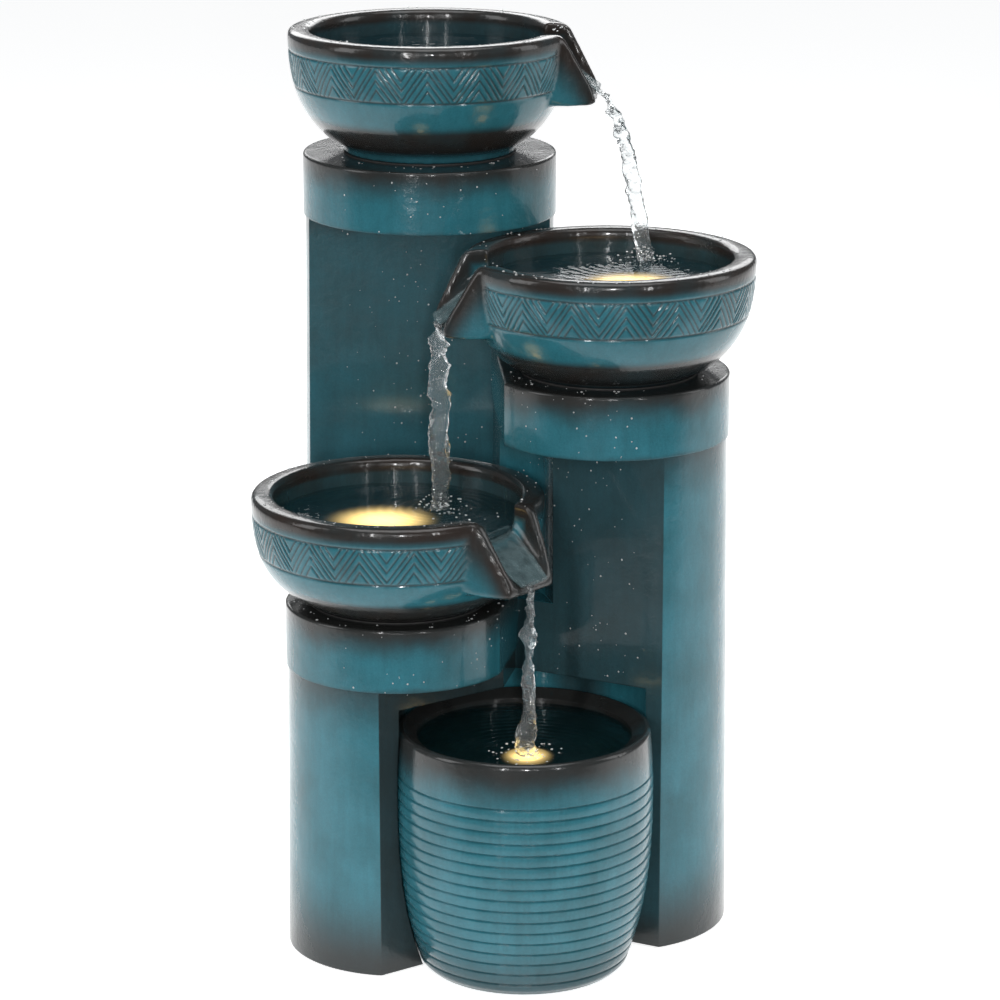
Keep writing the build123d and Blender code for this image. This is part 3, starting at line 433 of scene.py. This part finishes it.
@dataclass(frozen=True)
class WaterFinish:
    """Moving water: clear, with glints, and white where air is beaten into it."""

    name: str
    tint: str
    crest: str
    alpha: float
    ripple: float  # millimetres
    depth: float
    transmission: float = 0.0
    glow: Glow | None = None

    def build(self) -> bpy.types.Material:
        """Make the material."""
        material = bpy.data.materials.new(self.name)
        material.use_nodes = True
        tree = material.node_tree
        shader = tree.nodes["Principled BSDF"]
        at = add_node(tree, "ShaderNodeTexCoord").outputs["Object"]
        size = 1 / (self.ripple * MM)
        waves = add_node(tree, "ShaderNodeTexNoise", {"Vector": at, "Scale": size, "Detail": 3.0})
        bump = add_node(tree, "ShaderNodeBump", {"Height": waves.outputs["Fac"], "Distance": self.depth * MM})
        tree.links.new(bump.outputs["Normal"], shader.inputs["Normal"])
        tint = add_node(tree, "ShaderNodeMix", data_type="RGBA")
        set_mix(tint, waves.outputs["Fac"], linear(self.tint), linear(self.crest), tree)
        tree.links.new(mix_out(tint), shader.inputs["Base Color"])
        shader.inputs["Roughness"].default_value = 0.03
        shader.inputs["IOR"].default_value = 1.333
        shader.inputs["Alpha"].default_value = self.alpha
        shader.inputs["Transmission Weight"].default_value = self.transmission
        # Painted light from a lamp under the water, as glow on the surface.
        if self.glow:
            GlazedResin().light_up(tree, shader, at, self.glow)
        return material


# ---- Where the bowls stand ----
@dataclass(frozen=True)
class Tier:
    """One bowl's place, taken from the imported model."""

    name: str
    node: str
    bedding: str
    spout_bearing: float
    lamp: str | None = None

    @cached_property
    def axis(self) -> Vector:
        """The bowl's upright axis, in millimetres."""
        low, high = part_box(self.bedding)
        return (low + high) / 2 / MM

    @cached_property
    def rim(self) -> float:
        """Height of the rim in millimetres."""
        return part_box(self.node)[1].z / MM

    def at(self, reach: float, across: float, drop: float) -> Vector:
        """A point along the spout, in millimetres: out from the axis, to its left, below the rim."""
        way = radians(self.spout_bearing)
        return Vector((self.axis.x + reach * cos(way) - across * sin(way),
                       self.axis.y + reach * sin(way) + across * cos(way), self.rim - drop))

    def lamp_point(self) -> Triple | None:
        """Middle of the lamp's lens in millimetres."""
        if self.lamp is None:
            return None
        low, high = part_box(self.lamp)
        return tuple((low + high) / 2 / MM)


TOP = Tier("top", "top_bowl", "top_bowl_bedding", -5.0)
MIDDLE = Tier("middle", "middle_bowl", "middle_bowl_bedding", -170.0, "middle_lamp_lens")
LOWER = Tier("lower", "lower_bowl", "lower_bowl_bedding", -40.0, "lower_lamp_lens")
TIERS = (TOP, MIDDLE, LOWER)


class Part(Enum):
    """Which castings get which pattern of black paint."""

    COLUMN = "column"
    CAP = "cap"
    POT = "pot"


# ---- Bowls ----
@dataclass
class CarvedBowl:
    """A cast bowl with a soft spout and a band of carved chevrons."""

    tier: Tier
    voxel: float = 2.2
    smoothing: int = 5
    band_top: float = 18.0
    band_bottom: float = 51.0
    chevrons: int = 17
    stroke: float = 0.85
    stroke_depth: float = 1.15
    line: float = 1.1
    line_depth: float = 1.0
    offsets: tuple[float, ...] = (0.1, 0.37, 0.64)
    spout_half: float = 19.0  # degrees of the wall that the spout takes up each side
    inner_reach: float = 116.0  # the wall's carved face lies between these two reaches
    outer_reach: float = 119.0
    hand: float = 14.0  # length over which the carver's pressure changes
    lip_reaches: tuple[float, ...] = (118, 129, 138, 147, 153, 157)
    lip_drops: tuple[float, ...] = (0, 7.5, 20, 36.5, 51.5, 64)

    def cast(self) -> bpy.types.Mesh:
        """Copy the CAD bowl and soften it as the mould does."""
        source = frame["nodes"][self.tier.node]
        bm = bmesh.new()
        bm.from_mesh(source.data)
        bmesh.ops.remove_doubles(bm, verts=bm.verts, dist=0.002 * MM)
        mesh = bpy.data.meshes.new("casting")
        bm.to_mesh(mesh)
        bm.free()
        model = bpy.data.objects.new("casting", mesh)
        bpy.context.scene.collection.objects.link(model)
        remesh = model.modifiers.new("voxels", "REMESH")
        remesh.mode = "VOXEL"
        remesh.voxel_size = self.voxel * MM
        remesh.use_smooth_shade = True
        bpy.context.view_layer.update()
        cast = bpy.data.meshes.new_from_object(model.evaluated_get(bpy.context.evaluated_depsgraph_get()))
        bpy.data.objects.remove(model)
        return cast

    def refine(self, mesh: bpy.types.Mesh) -> None:
        """Smooth the casting and give its band faces fine enough to carve."""
        bm = bmesh.new()
        bm.from_mesh(mesh)
        for _ in range(self.smoothing):
            bmesh.ops.smooth_vert(
                bm, verts=bm.verts, factor=0.5, use_axis_x=True, use_axis_y=True, use_axis_z=True
            )
        axis, rim = self.tier.axis, self.tier.rim
        edges = set()
        for face in bm.faces:
            point = face.calc_center_median() / MM
            drop = rim - point.z
            reach = (point.xy - axis.xy).length
            bearing = np.degrees(atan2(point.y - axis.y, point.x - axis.x))
            way = abs((bearing - self.tier.spout_bearing + 180) % 360 - 180)
            in_band = self.band_top - 3 < drop < self.band_bottom + 3
            if in_band and reach > self.outer_reach and way > self.spout_half - 1:
                edges.update(face.edges)
        bmesh.ops.subdivide_edges(bm, edges=list(edges), cuts=2, use_grid_fill=True)
        bm.to_mesh(mesh)
        bm.free()

    def carve(self, mesh: bpy.types.Mesh) -> None:
        """Sink the chevrons and the two lines, and keep where the black paint and the painted shade lie."""
        points = read_points(mesh)
        axis, rim = self.tier.axis, self.tier.rim
        east, north = points[:, 0] - axis.x, points[:, 1] - axis.y
        reach = np.hypot(east, north)
        bearing = (np.degrees(np.arctan2(north, east)) - self.tier.spout_bearing + 180) % 360 - 180
        drop = rim - points[:, 2]
        height = self.band_bottom - self.band_top
        share = (self.band_bottom - drop) / height
        half = tau * reach.max() / self.chevrons / 2
        across = height * cos(atan2(height, min(half, 26.0)))
        zigzag = np.abs(2 * ((bearing / 360 * self.chevrons) % 1) - 1)
        inside_band = smooth_step(share, 0.0, 0.05) * smooth_step(share, 1.0, 0.95)
        strokes = np.zeros(len(points))
        for offset in self.offsets:
            for side in (-1, 1):
                gap = np.abs(share - zigzag - side * offset) * across
                strokes = np.maximum(strokes, np.exp(-((gap / self.stroke) ** 2)))
        lines = sum(np.exp(-(((drop - edge) / self.line) ** 2)) for edge in (self.band_top, self.band_bottom))
        wall = smooth_step(reach, self.inner_reach, self.outer_reach)
        wall = wall * smooth_step(np.abs(bearing), self.spout_half, self.spout_half + 4)
        hand = np.array([0.75 + 0.5 * noise.noise(Vector(p) / self.hand) for p in points])
        depth = wall * (strokes * inside_band * self.stroke_depth * hand + lines * self.line_depth)
        moved = points.copy()
        moved[:, 0] -= depth * east / reach
        moved[:, 1] -= depth * north / reach
        write_points(mesh, moved)
        cuts = wall * np.maximum(strokes * inside_band, lines)
        write_attribute(mesh, "paint_and_shade", self.paint_and_shade(reach, bearing, drop, cuts))

    def paint_and_shade(self, reach: np.ndarray, bearing: np.ndarray, drop: np.ndarray, cuts: np.ndarray) -> np.ndarray:
        """The share of black paint and painted shade at each vertex: black paint on the rim, cuts and lip,
        painted shade inside and at the foot.

        Args:
            reach: distance from the bowl's axis.
            bearing: degrees round from the spout.
            drop: distance below the rim.
            cuts: 1 in the bottom of a cut.

        Returns:
            One number from 0 to 1 for each vertex.
        """
        side = reach * np.sin(np.radians(bearing))
        along = reach * np.cos(np.radians(bearing))
        rim_paint = smooth_step(drop, self.band_top + 1, self.band_top - 9) * 0.95
        # Painted shade inside the bowl, darker further down.
        inside = smooth_step(reach, self.inner_reach, 110) * smooth_step(drop, 0, 6)
        inside *= (0.72 + 0.2 * smooth_step(drop, 20, 70)) * smooth_step(drop, 110, 100)
        beak = smooth_step(along, 112, 124) * smooth_step(np.abs(side), 60, 46)
        lip_line = np.interp(along, self.lip_reaches, self.lip_drops)
        lip = beak * smooth_step(drop - lip_line, 60, 12)
        channel = beak * smooth_step(np.abs(side), 38, 30)
        # Painted shade under the bowl, by its foot.
        foot = smooth_step(drop, 94, 108) * 0.3
        layers = [rim_paint, inside, lip * 0.95, channel * 0.9, foot, cuts * 0.72]
        return np.clip(np.maximum.reduce(layers), 0, 1)

    def build(self, material: bpy.types.Material) -> bpy.types.Object:
        """Make the bowl's piece in place of its CAD node."""
        mesh = self.cast()
        self.refine(mesh)
        self.carve(mesh)
        piece = place_piece(f"{self.tier.name}_carved_bowl", mesh, material)
        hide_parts(self.tier.node)
        return piece


# ---- Water ----
@dataclass
class Pool:
    """A still body of water with rings round the place where a stream lands."""

    name: str
    centre: Vector
    level: float
    radius: float
    lands: tuple[float, float] | None
    thickness: float = 3.0
    rings: int = 56
    steps: int = 160
    wave: float = 1.3
    wavelength: float = 9.0

    def build(self, material: bpy.types.Material) -> bpy.types.Object:
        """Spin the pool's section and set its surface moving."""
        bm = bmesh.new()
        reaches = [self.radius * i / self.rings for i in range(self.rings + 1)]
        section = [(r, self.level) for r in reaches] + [(self.radius, self.level - self.thickness),
                                                        (0.0, self.level - self.thickness)]
        verts = [bm.verts.new(Vector((self.centre.x + r, self.centre.y, z)) * MM) for r, z in section]
        edges = [bm.edges.new(pair) for pair in zip(verts, verts[1:])]
        middle = Vector((self.centre.x, self.centre.y, 0)) * MM
        turn = {"cent": middle, "axis": (0, 0, 1), "angle": tau, "steps": self.steps}
        bmesh.ops.spin(bm, geom=verts + edges, **turn, use_merge=True)
        bmesh.ops.remove_doubles(bm, verts=bm.verts, dist=0.01 * MM)
        bmesh.ops.recalc_face_normals(bm, faces=bm.faces)
        top = self.level * MM - 0.5 * MM
        for vert in bm.verts:
            if vert.co.z > top:
                vert.co.z += self.wave_height(vert.co / MM) * MM
        return make_piece(self.name, bm, material)

    def wave_height(self, point: Vector) -> float:
        """How far the surface stands over its level at a point, in millimetres."""
        slow = 0.5 * noise.noise(point / 22)
        if self.lands is None:
            return slow
        away = (point.xy - Vector(self.lands)).length
        fade = 1 / (1 + (away / 22) ** 1.4)
        return slow + self.wave * cos(tau * away / self.wavelength) * fade


@dataclass
class Stream:
    """A falling ribbon of water that narrows, twists and breaks up as it drops."""

    name: str
    start: Vector
    end: Vector
    across: Vector  # the ribbon's broad way where it leaves the spout
    widths: tuple[float, ...]  # from top to foot, in millimetres
    thicknesses: tuple[float, ...]
    twist: float = 2.2
    lean: float = 0.25  # share of the drop that is at constant speed
    rows: int = 90
    ring: int = 20
    seed: float = 0.0

    def build(self, material: bpy.types.Material) -> bpy.types.Object:
        """Draw a tube out along the fall."""
        bm = bmesh.new()
        bmesh.ops.create_cone(bm, cap_ends=True, segments=self.ring, radius1=1, radius2=1, depth=1)
        upright = [e for e in bm.edges if abs(e.verts[0].co.z - e.verts[1].co.z) > 0.5]
        bmesh.ops.subdivide_edges(bm, edges=upright, cuts=self.rows, use_grid_fill=True)
        for vert in bm.verts:
            vert.co = self.fall(0.5 - vert.co.z, atan2(vert.co.y, vert.co.x)) * MM
        bmesh.ops.recalc_face_normals(bm, faces=bm.faces)
        return make_piece(self.name, bm, material)

    def fall(self, share: float, way: float) -> Vector:
        """A point on the ribbon's skin, in millimetres.

        Args:
            share: 0 at the spout and 1 at the foot.
            way: direction round the ribbon's section.

        Returns:
            The point.
        """
        flat = self.start.lerp(self.end, share ** 0.75)
        drop = (self.start.z - self.end.z) * (self.lean * share + (1 - self.lean) * share ** 2)
        places = np.linspace(0, 1, len(self.widths))
        half_wide = np.interp(share, places, self.widths) / 2
        half_thick = np.interp(share, places, self.thicknesses) / 2
        wobble = noise.noise(Vector((share * 9, self.seed, 0)))
        lumps = 1 + 0.42 * noise.noise(Vector((share * 17, cos(way) * 1.1 + self.seed, sin(way) * 1.1)))
        lumps += 0.24 * noise.noise(Vector((share * 46, cos(way) * 1.6, sin(way) * 1.6 + self.seed)))
        turn = self.twist * share + 0.9 * wobble
        broad = Vector((self.across.x * cos(turn) - self.across.y * sin(turn),
                        self.across.x * sin(turn) + self.across.y * cos(turn), 0))
        thin = Vector((-broad.y, broad.x, 0))
        middle = Vector((flat.x, flat.y, self.start.z - drop)) + broad * wobble * 3.5 * share
        return middle + broad * cos(way) * half_wide * lumps + thin * sin(way) * half_thick * lumps


@dataclass
class ChannelFilm:
    """The sheet of water that runs down a spout's channel."""

    tier: Tier
    sill: float = 22.0  # below the rim
    end_drop: float = 55.0
    start_reach: float = 100.0
    end_reach: float = 158.0
    start_half: float = 33.0
    end_half: float = 20.0

    def build(self, material: bpy.types.Material) -> bpy.types.Object:
        """Lay a grid along the channel and give it thickness."""
        bm = bmesh.new()
        bmesh.ops.create_grid(bm, x_segments=30, y_segments=14, size=1)
        for vert in bm.verts:
            share, side = (vert.co.x + 1) / 2, vert.co.y
            reach = self.start_reach + share * (self.end_reach - self.start_reach)
            half = self.start_half + share * (self.end_half - self.start_half)
            down = self.sill + (self.end_drop - self.sill) * share ** 1.25
            pile = 1.4 * noise.noise(Vector((share * 6, side * 3, self.tier.rim)))
            across = side * half * (1 - 0.12 * share)
            vert.co = self.tier.at(reach, across, down - pile - 1.5 * side * side) * MM
        bmesh.ops.recalc_face_normals(bm, faces=bm.faces)
        bmesh.ops.solidify(bm, geom=bm.faces[:], thickness=2.0 * MM)
        bmesh.ops.recalc_face_normals(bm, faces=bm.faces)
        return make_piece(f"{self.tier.name}_spout_water", bm, material)


@dataclass
class Beads:
    """Drops that cling to the castings or jump from a stream's foot."""

    name: str
    places: list[tuple[Vector, Vector, float]] = field(default_factory=list)  # point, outward way, radius

    def build(self, material: bpy.types.Material) -> bpy.types.Object:
        """Set one small dome at each place."""
        bm = bmesh.new()
        for point, out, size in self.places:
            drop = bmesh.ops.create_icosphere(bm, subdivisions=1, radius=size * MM)["verts"]
            for vert in drop:
                vert.co -= out * vert.co.dot(out) * 0.45
                vert.co += point * MM
        return make_piece(self.name, bm, material)


def ring_beads(rng: np.random.Generator, centre: Vector, height: float, near: float, far: float, count: int,
               biggest: float) -> list[tuple[Vector, Vector, float]]:
    """Beads on a level ring, more of them small.

    Args:
        rng: the seeded source of random numbers.
        centre: the ring's middle in millimetres.
        height: the surface's height.
        near: inner radius.
        far: outer radius.
        count: how many.
        biggest: the largest bead's radius.

    Returns:
        A point, an outward way and a radius for each.
    """
    places = []
    ways = rng.uniform(0, tau, count)
    reaches = rng.uniform(near, far, count)
    for way, reach, size in zip(ways, reaches, rng.power(0.6, count)):
        point = Vector((centre.x + reach * cos(way), centre.y + reach * sin(way), height))
        places.append((point, Vector((0, 0, 1)), 0.45 + size * (biggest - 0.45)))
    return places


def wall_beads(rng: np.random.Generator, nodes: tuple[str, ...], low: Vector, high: Vector, count: int,
               biggest: float) -> list[tuple[Vector, Vector, float]]:
    """Beads splashed on the castings that face the front within a box, in millimetres."""
    trees = []
    for node in nodes:
        mesh = frame["nodes"][node].data
        corners = [vertex.co for vertex in mesh.vertices]
        trees.append(BVHTree.FromPolygons(corners, [tuple(face.vertices) for face in mesh.polygons]))
    places = []
    across = rng.uniform(low.x, high.x, count)
    heights = rng.uniform(low.z, high.z, count)
    for x, z, size in zip(across, heights, rng.power(0.5, count)):
        start = Vector((x, low.y, z)) * MM
        hits = [tree.ray_cast(start, Vector((0, 1, 0))) for tree in trees]
        hits = [hit for hit in hits if hit[0] is not None]
        if hits:
            point, normal, _, _ = min(hits, key=lambda hit: hit[3])
            if point.y < high.y * MM:
                places.append((point / MM, normal, 0.4 + size * (biggest - 0.4)))
    return places


def splash_beads(rng: np.random.Generator, foot: Vector, spread: float, rise: float,
                 count: int) -> list[tuple[Vector, Vector, float]]:
    """Drops thrown up round a stream's foot."""
    places = []
    for way, away, up, size in zip(rng.uniform(0, tau, count), rng.power(0.7, count), rng.power(0.5, count),
                                   rng.uniform(0.4, 1.5, count)):
        reach = spread * away
        lift = rise * up * (1 - away * 0.8)
        places.append((Vector((foot.x + reach * cos(way), foot.y + reach * sin(way), foot.z + lift)),
                       Vector((0, 0, 1)), size))
    return places


# ---- Castings that keep their CAD shape ----
@dataclass
class Castings:
    """Columns, caps and pot: the CAD shapes in the painted finish, with painted shade on the columns' flat
    sides and painted light near the pot's lamp.
    """

    resin: GlazedResin

    def zones(self, part: Part, low: float, high: float) -> tuple[Zone, ...]:
        """Where a casting between two heights is painted black."""
        if part is Part.COLUMN:
            return (Zone(low + 88, low + 5, 0.9), Zone(high - 50, high + 10, 0.75))
        if part is Part.CAP:
            return (Zone(high - 33, high - 2, 0.93), Zone(low + 4, low - 3, 0.5))
        return (Zone(high - 48, high - 8, 0.93), Zone(low + 58, low, 0.62))

    def dress(self, tier_names: tuple[str, ...]) -> None:
        """Give every column, cap and the pot its finish."""
        # Painted shade on the columns' flat sides, which face into the dark space between the columns.
        facets = {"rear": (ShadedFacet(-90.0, 0.42),), "right": (ShadedFacet(-117.8, 0.66), ShadedFacet(-176.4, 0.7)),
                  "left": (ShadedFacet(-54.0, 0.82), ShadedFacet(-11.1, 0.85))}
        for name in tier_names:
            for part in (Part.COLUMN, Part.CAP):
                self.paint(f"{name}_{part.value}", part, facets=facets[name] if part is Part.COLUMN else ())
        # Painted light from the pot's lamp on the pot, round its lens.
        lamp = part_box("pot_lamp_lens")
        centre = tuple((lamp[0] + lamp[1]) / 2 / MM)
        self.paint("pot", Part.POT, Glow((centre[0], centre[1] + 8, centre[2] + 12), 38.0, 1.5))

    def paint(self, node: str, part: Part, glow: Glow | None = None, facets: tuple[ShadedFacet, ...] = ()) -> None:
        """Paint one casting."""
        low, high = (corner.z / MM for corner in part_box(node))
        zones = self.zones(part, low, high)
        material = self.resin.build(f"GlazedResin_{node}", zones, glow=glow, facets=facets)
        wear(frame["nodes"][node], material)
        log.info("%s: painted", node)


def wear(piece: bpy.types.Object, material: bpy.types.Material) -> None:
    """Put a material in every slot of a CAD node."""
    if not piece.material_slots:
        piece.data.materials.append(material)
    for slot in piece.material_slots:
        slot.link = "OBJECT"
        slot.material = material


def dress_small_parts() -> None:
    """Give every other CAD node the finish of its record slot."""
    finishes = {slot: finish.build() for slot, finish in SLOT_FINISHES.items()}
    for subpart in frame["record"]["subparts"]:
        material = finishes.get(subpart["material_slot"])
        if material:
            wear(frame["nodes"][subpart["node"]], material)


# ---- Water in its places ----
@dataclass
class RunningWater:
    """All the fountain's water: pools, spout films, streams and drops."""

    bowl_drop: float = 22.0  # the water's level below a bowl's rim
    bowl_water_radius: float = 109.3
    pot_drop: float = 11.0
    pot_water_radius: float = 98.0
    spout_reach: float = 155.0
    spout_drop: float = 58.0
    top_lands: tuple[float, float] = (33.5, 72.0)  # from the axis of what catches the stream
    middle_lands: tuple[float, float] = (37.0, 18.5)
    lower_lands: tuple[float, float] = (2.5, -51.0)
    glow_forward: float = 28.0  # how far before its lamp the patch of painted light on a bowl's water lies
    glow_reach: float = 56.0
    glow_strength: float = 3.4
    pot_glow_reach: float = 26.0
    pot_glow_strength: float = 3.0
    seed: int = 7

    def landing(self, axis: Vector, offset: tuple[float, float], level: float) -> Vector:
        """The point where a stream meets the water below it."""
        return Vector((axis.x + offset[0], axis.y + offset[1], level))

    def build(self) -> None:
        """Make the water from the top down."""
        falling = WaterFinish("FallingWater", "#e6eef0", "#ffffff", 1.0, 5.0, 1.4, transmission=0.95).build()
        beads = WaterFinish("WaterDrops", "#f4f8f8", "#ffffff", 1.0, 2.0, 0.05, transmission=0.6).build()
        film = WaterFinish("SpoutWater", "#14282c", "#7f979b", 0.4, 7.0, 1.6).build()
        pot_low, pot_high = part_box("pot")
        pot_axis = (pot_low + pot_high) / 2 / MM
        pot_level = pot_high.z / MM - self.pot_drop
        feet = {
            "top": self.landing(MIDDLE.axis, self.top_lands, MIDDLE.rim - self.bowl_drop),
            "middle": self.landing(LOWER.axis, self.middle_lands, LOWER.rim - self.bowl_drop),
            "lower": self.landing(pot_axis, self.lower_lands, pot_level),
        }
        pools = ((TOP, None, None), (MIDDLE, feet["top"], MIDDLE.lamp_point()),
                 (LOWER, feet["middle"], LOWER.lamp_point()))
        for tier, lands, lamp in pools:
            level = tier.rim - self.bowl_drop
            # Painted light from the bowl's lamp on its pool's surface.
            glow = None
            if lamp:
                glow = Glow((lamp[0], lamp[1] - self.glow_forward, level), self.glow_reach, self.glow_strength)
            finish = WaterFinish(f"PoolWater_{tier.name}", "#0d262c", "#17373f", 0.5, 10.0, 0.9, glow=glow)
            Pool(f"{tier.name}_pool", tier.axis, level, self.bowl_water_radius,
                 tuple(lands.xy) if lands else None).build(finish.build())
            ChannelFilm(tier).build(film)
        # Painted light on the pot's water where the lower stream lands.
        pot_glow = Glow(tuple(feet["lower"]), self.pot_glow_reach, self.pot_glow_strength)
        Pool("pot_pool", pot_axis, pot_level, self.pot_water_radius, tuple(feet["lower"].xy)).build(
            WaterFinish("PoolWater_pot", "#081517", "#10272b", 0.6, 12.0, 0.6, glow=pot_glow).build())
        widths = {"top": (26, 17, 15, 14, 13, 17), "middle": (28, 21, 19, 18, 17, 22),
                  "lower": (28, 20, 20, 14, 13, 20)}
        for index, tier in enumerate(TIERS):
            way = radians(tier.spout_bearing)
            start = tier.at(self.spout_reach, 0, self.spout_drop - 3)
            Stream(f"{tier.name}_stream", start, feet[tier.name], Vector((-sin(way), cos(way), 0)),
                   widths[tier.name], (4, 5, 6, 6.5, 7, 9), seed=3.1 * index + 1).build(falling)
        self.drops(beads, feet)

    def drops(self, material: bpy.types.Material, feet: dict[str, Vector]) -> None:
        """Scatter the drops on rims, caps and walls and round the streams' feet."""
        rng = np.random.default_rng(self.seed)
        for tier in TIERS:
            beads = ring_beads(rng, tier.axis, tier.rim, 113, 127, 70, 1.5)
            Beads(f"{tier.name}_rim_drops", beads).build(material)
        for cap, tier in (("rear_cap", TOP), ("right_cap", MIDDLE), ("left_cap", LOWER)):
            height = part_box(cap)[1].z / MM
            Beads(f"{cap}_drops", ring_beads(rng, tier.axis, height, 84, 97, 60, 1.6)).build(material)
        for name, foot in feet.items():
            Beads(f"{name}_splash", splash_beads(rng, foot, 34, 16, 90)).build(material)
        wet_nodes = ("rear_column", "right_column", "left_column", "rear_cap", "right_cap", "left_cap")
        walls = wall_beads(rng, wet_nodes, Vector((-150, -400, 250)), Vector((120, 200, 700)), 340, 1.1)
        Beads("wall_drops", walls).build(material)


# ---- Studio ----
@dataclass
class Studio:
    """A pale floor with painted light behind the fountain and painted shade in front of it, soft lights and the
    camera.
    """

    camera_at: Triple = (-3.7, -3440.2, 1337.8)
    pitch_down: float = 0.2697
    lens: float = 140.56
    aim: Triple = (0.0, 0.0, 0.45)  # the point that every light faces, in metres
    floor_half: float = 14.0
    floor_light: float = 0.75
    world_light: float = 0.22

    def softbox(self, name: str, at: Triple, size: tuple[float, float], power: float) -> None:
        """Hang one rectangular soft light.

        Args:
            name: the light's name.
            at: where it hangs, in metres.
            size: its width and height.
            power: in watts.
        """
        light = bpy.data.lights.new(name, "AREA")
        light.shape = "RECTANGLE"
        light.size, light.size_y = size
        light.energy = power
        light.color = (1.0, 1.0, 1.0)
        lamp = bpy.data.objects.new(name, light)
        lamp.location = at
        lamp.rotation_euler = (Vector(self.aim) - Vector(at)).to_track_quat("-Z", "Y").to_euler()
        bpy.context.scene.collection.objects.link(lamp)

    def floor(self) -> None:
        """Lay the paper floor: painted light (glow) behind the fountain, and painted shade (darker grey) in
        front of it.
        """
        bm = bmesh.new()
        bmesh.ops.create_grid(bm, x_segments=1, y_segments=1, size=self.floor_half)
        mesh = bpy.data.meshes.new("floor")
        bm.to_mesh(mesh)
        bm.free()
        floor = bpy.data.objects.new("floor", mesh)
        bpy.context.scene.collection.objects.link(floor)
        paper = PlainFinish("MattPaper", "#f6f6f5", "#f1f1f0", 3.0, 0.02, 0.85).build()
        tree = paper.node_tree
        shader = tree.nodes["Principled BSDF"]
        shader.inputs["Emission Color"].default_value = linear("#ffffff")
        at = add_node(tree, "ShaderNodeTexCoord").outputs["Object"]
        # Painted light: the floor glows from within behind the fountain.
        depth = add_node(tree, "ShaderNodeSeparateXYZ", {0: at}).outputs["Y"]
        ends = {"Value": depth, "From Min": -0.8, "From Max": -0.25, "To Max": self.floor_light}
        lift = add_node(tree, "ShaderNodeMapRange", ends, interpolation_type="SMOOTHSTEP")
        tree.links.new(lift.outputs["Result"], shader.inputs["Emission Strength"])
        # Painted shade: the floor in front of the fountain is darker grey, also where the castings reflect it.
        ends = {"Value": depth, "From Min": -1.1, "From Max": -0.5}
        front = add_node(tree, "ShaderNodeMapRange", ends, interpolation_type="SMOOTHSTEP")
        shade = add_node(tree, "ShaderNodeMix", data_type="RGBA")
        set_mix(shade, front.outputs["Result"], linear("#6f7173"), linear("#f6f6f5"), tree)
        tree.links.new(mix_out(shade), shader.inputs["Base Color"])
        mesh.materials.append(paper)

    def build(self) -> None:
        """Set up the studio."""
        scene = bpy.context.scene
        scene.view_settings.view_transform = "Standard"
        camera = bpy.data.cameras.new("camera")
        camera.lens = self.lens
        camera.sensor_width = 36.0
        camera.clip_end = 60.0
        eye = bpy.data.objects.new("camera", camera)
        eye.location = Vector(self.camera_at) * MM
        eye.rotation_euler = (pi / 2 - self.pitch_down, 0, 0)
        scene.collection.objects.link(eye)
        scene.camera = eye
        world = bpy.data.worlds.new("studio")
        world.use_nodes = True
        world.node_tree.nodes["Background"].inputs["Color"].default_value = linear("#e6eaee")
        world.node_tree.nodes["Background"].inputs["Strength"].default_value = self.world_light
        scene.world = world
        self.floor()
        self.softbox("strip_left", (-0.95, -3.0, 1.2), (0.12, 2.0), 32.0)
        self.softbox("strip_right", (1.5, -2.7, 1.3), (0.1, 1.6), 15.0)
        self.softbox("strip_front", (0.15, -3.8, 1.25), (0.18, 0.6), 44.0)
        self.softbox("side_left", (-2.4, -0.7, 1.5), (0.9, 1.8), 18.0)
        self.softbox("side_right", (2.4, 0.0, 1.4), (0.9, 1.8), 14.0)
        self.softbox("overhead", (0.0, -0.2, 3.4), (2.4, 2.4), 60.0)
        self.softbox("behind", (0.0, 3.2, 1.9), (3.0, 1.0), 34.0)


def main() -> None:
    """Build the studio, dress the castings, carve the bowls and set the water running."""
    Studio().build()
    resin = GlazedResin()
    Castings(resin).dress(("rear", "right", "left"))
    dress_small_parts()
    for tier in TIERS:
        lamp = tier.lamp_point()
        # Painted light from the bowl's lamp on the bowl, round the lamp.
        glow = Glow(lamp, 56.0, 1.2) if lamp else None
        # The bowl's attribute carries its black paint and its painted shade.
        CarvedBowl(tier).build(resin.build(f"GlazedResin_{tier.name}_bowl", (), "paint_and_shade", glow))
    RunningWater().build()


if __name__ == "__main__":
    main()
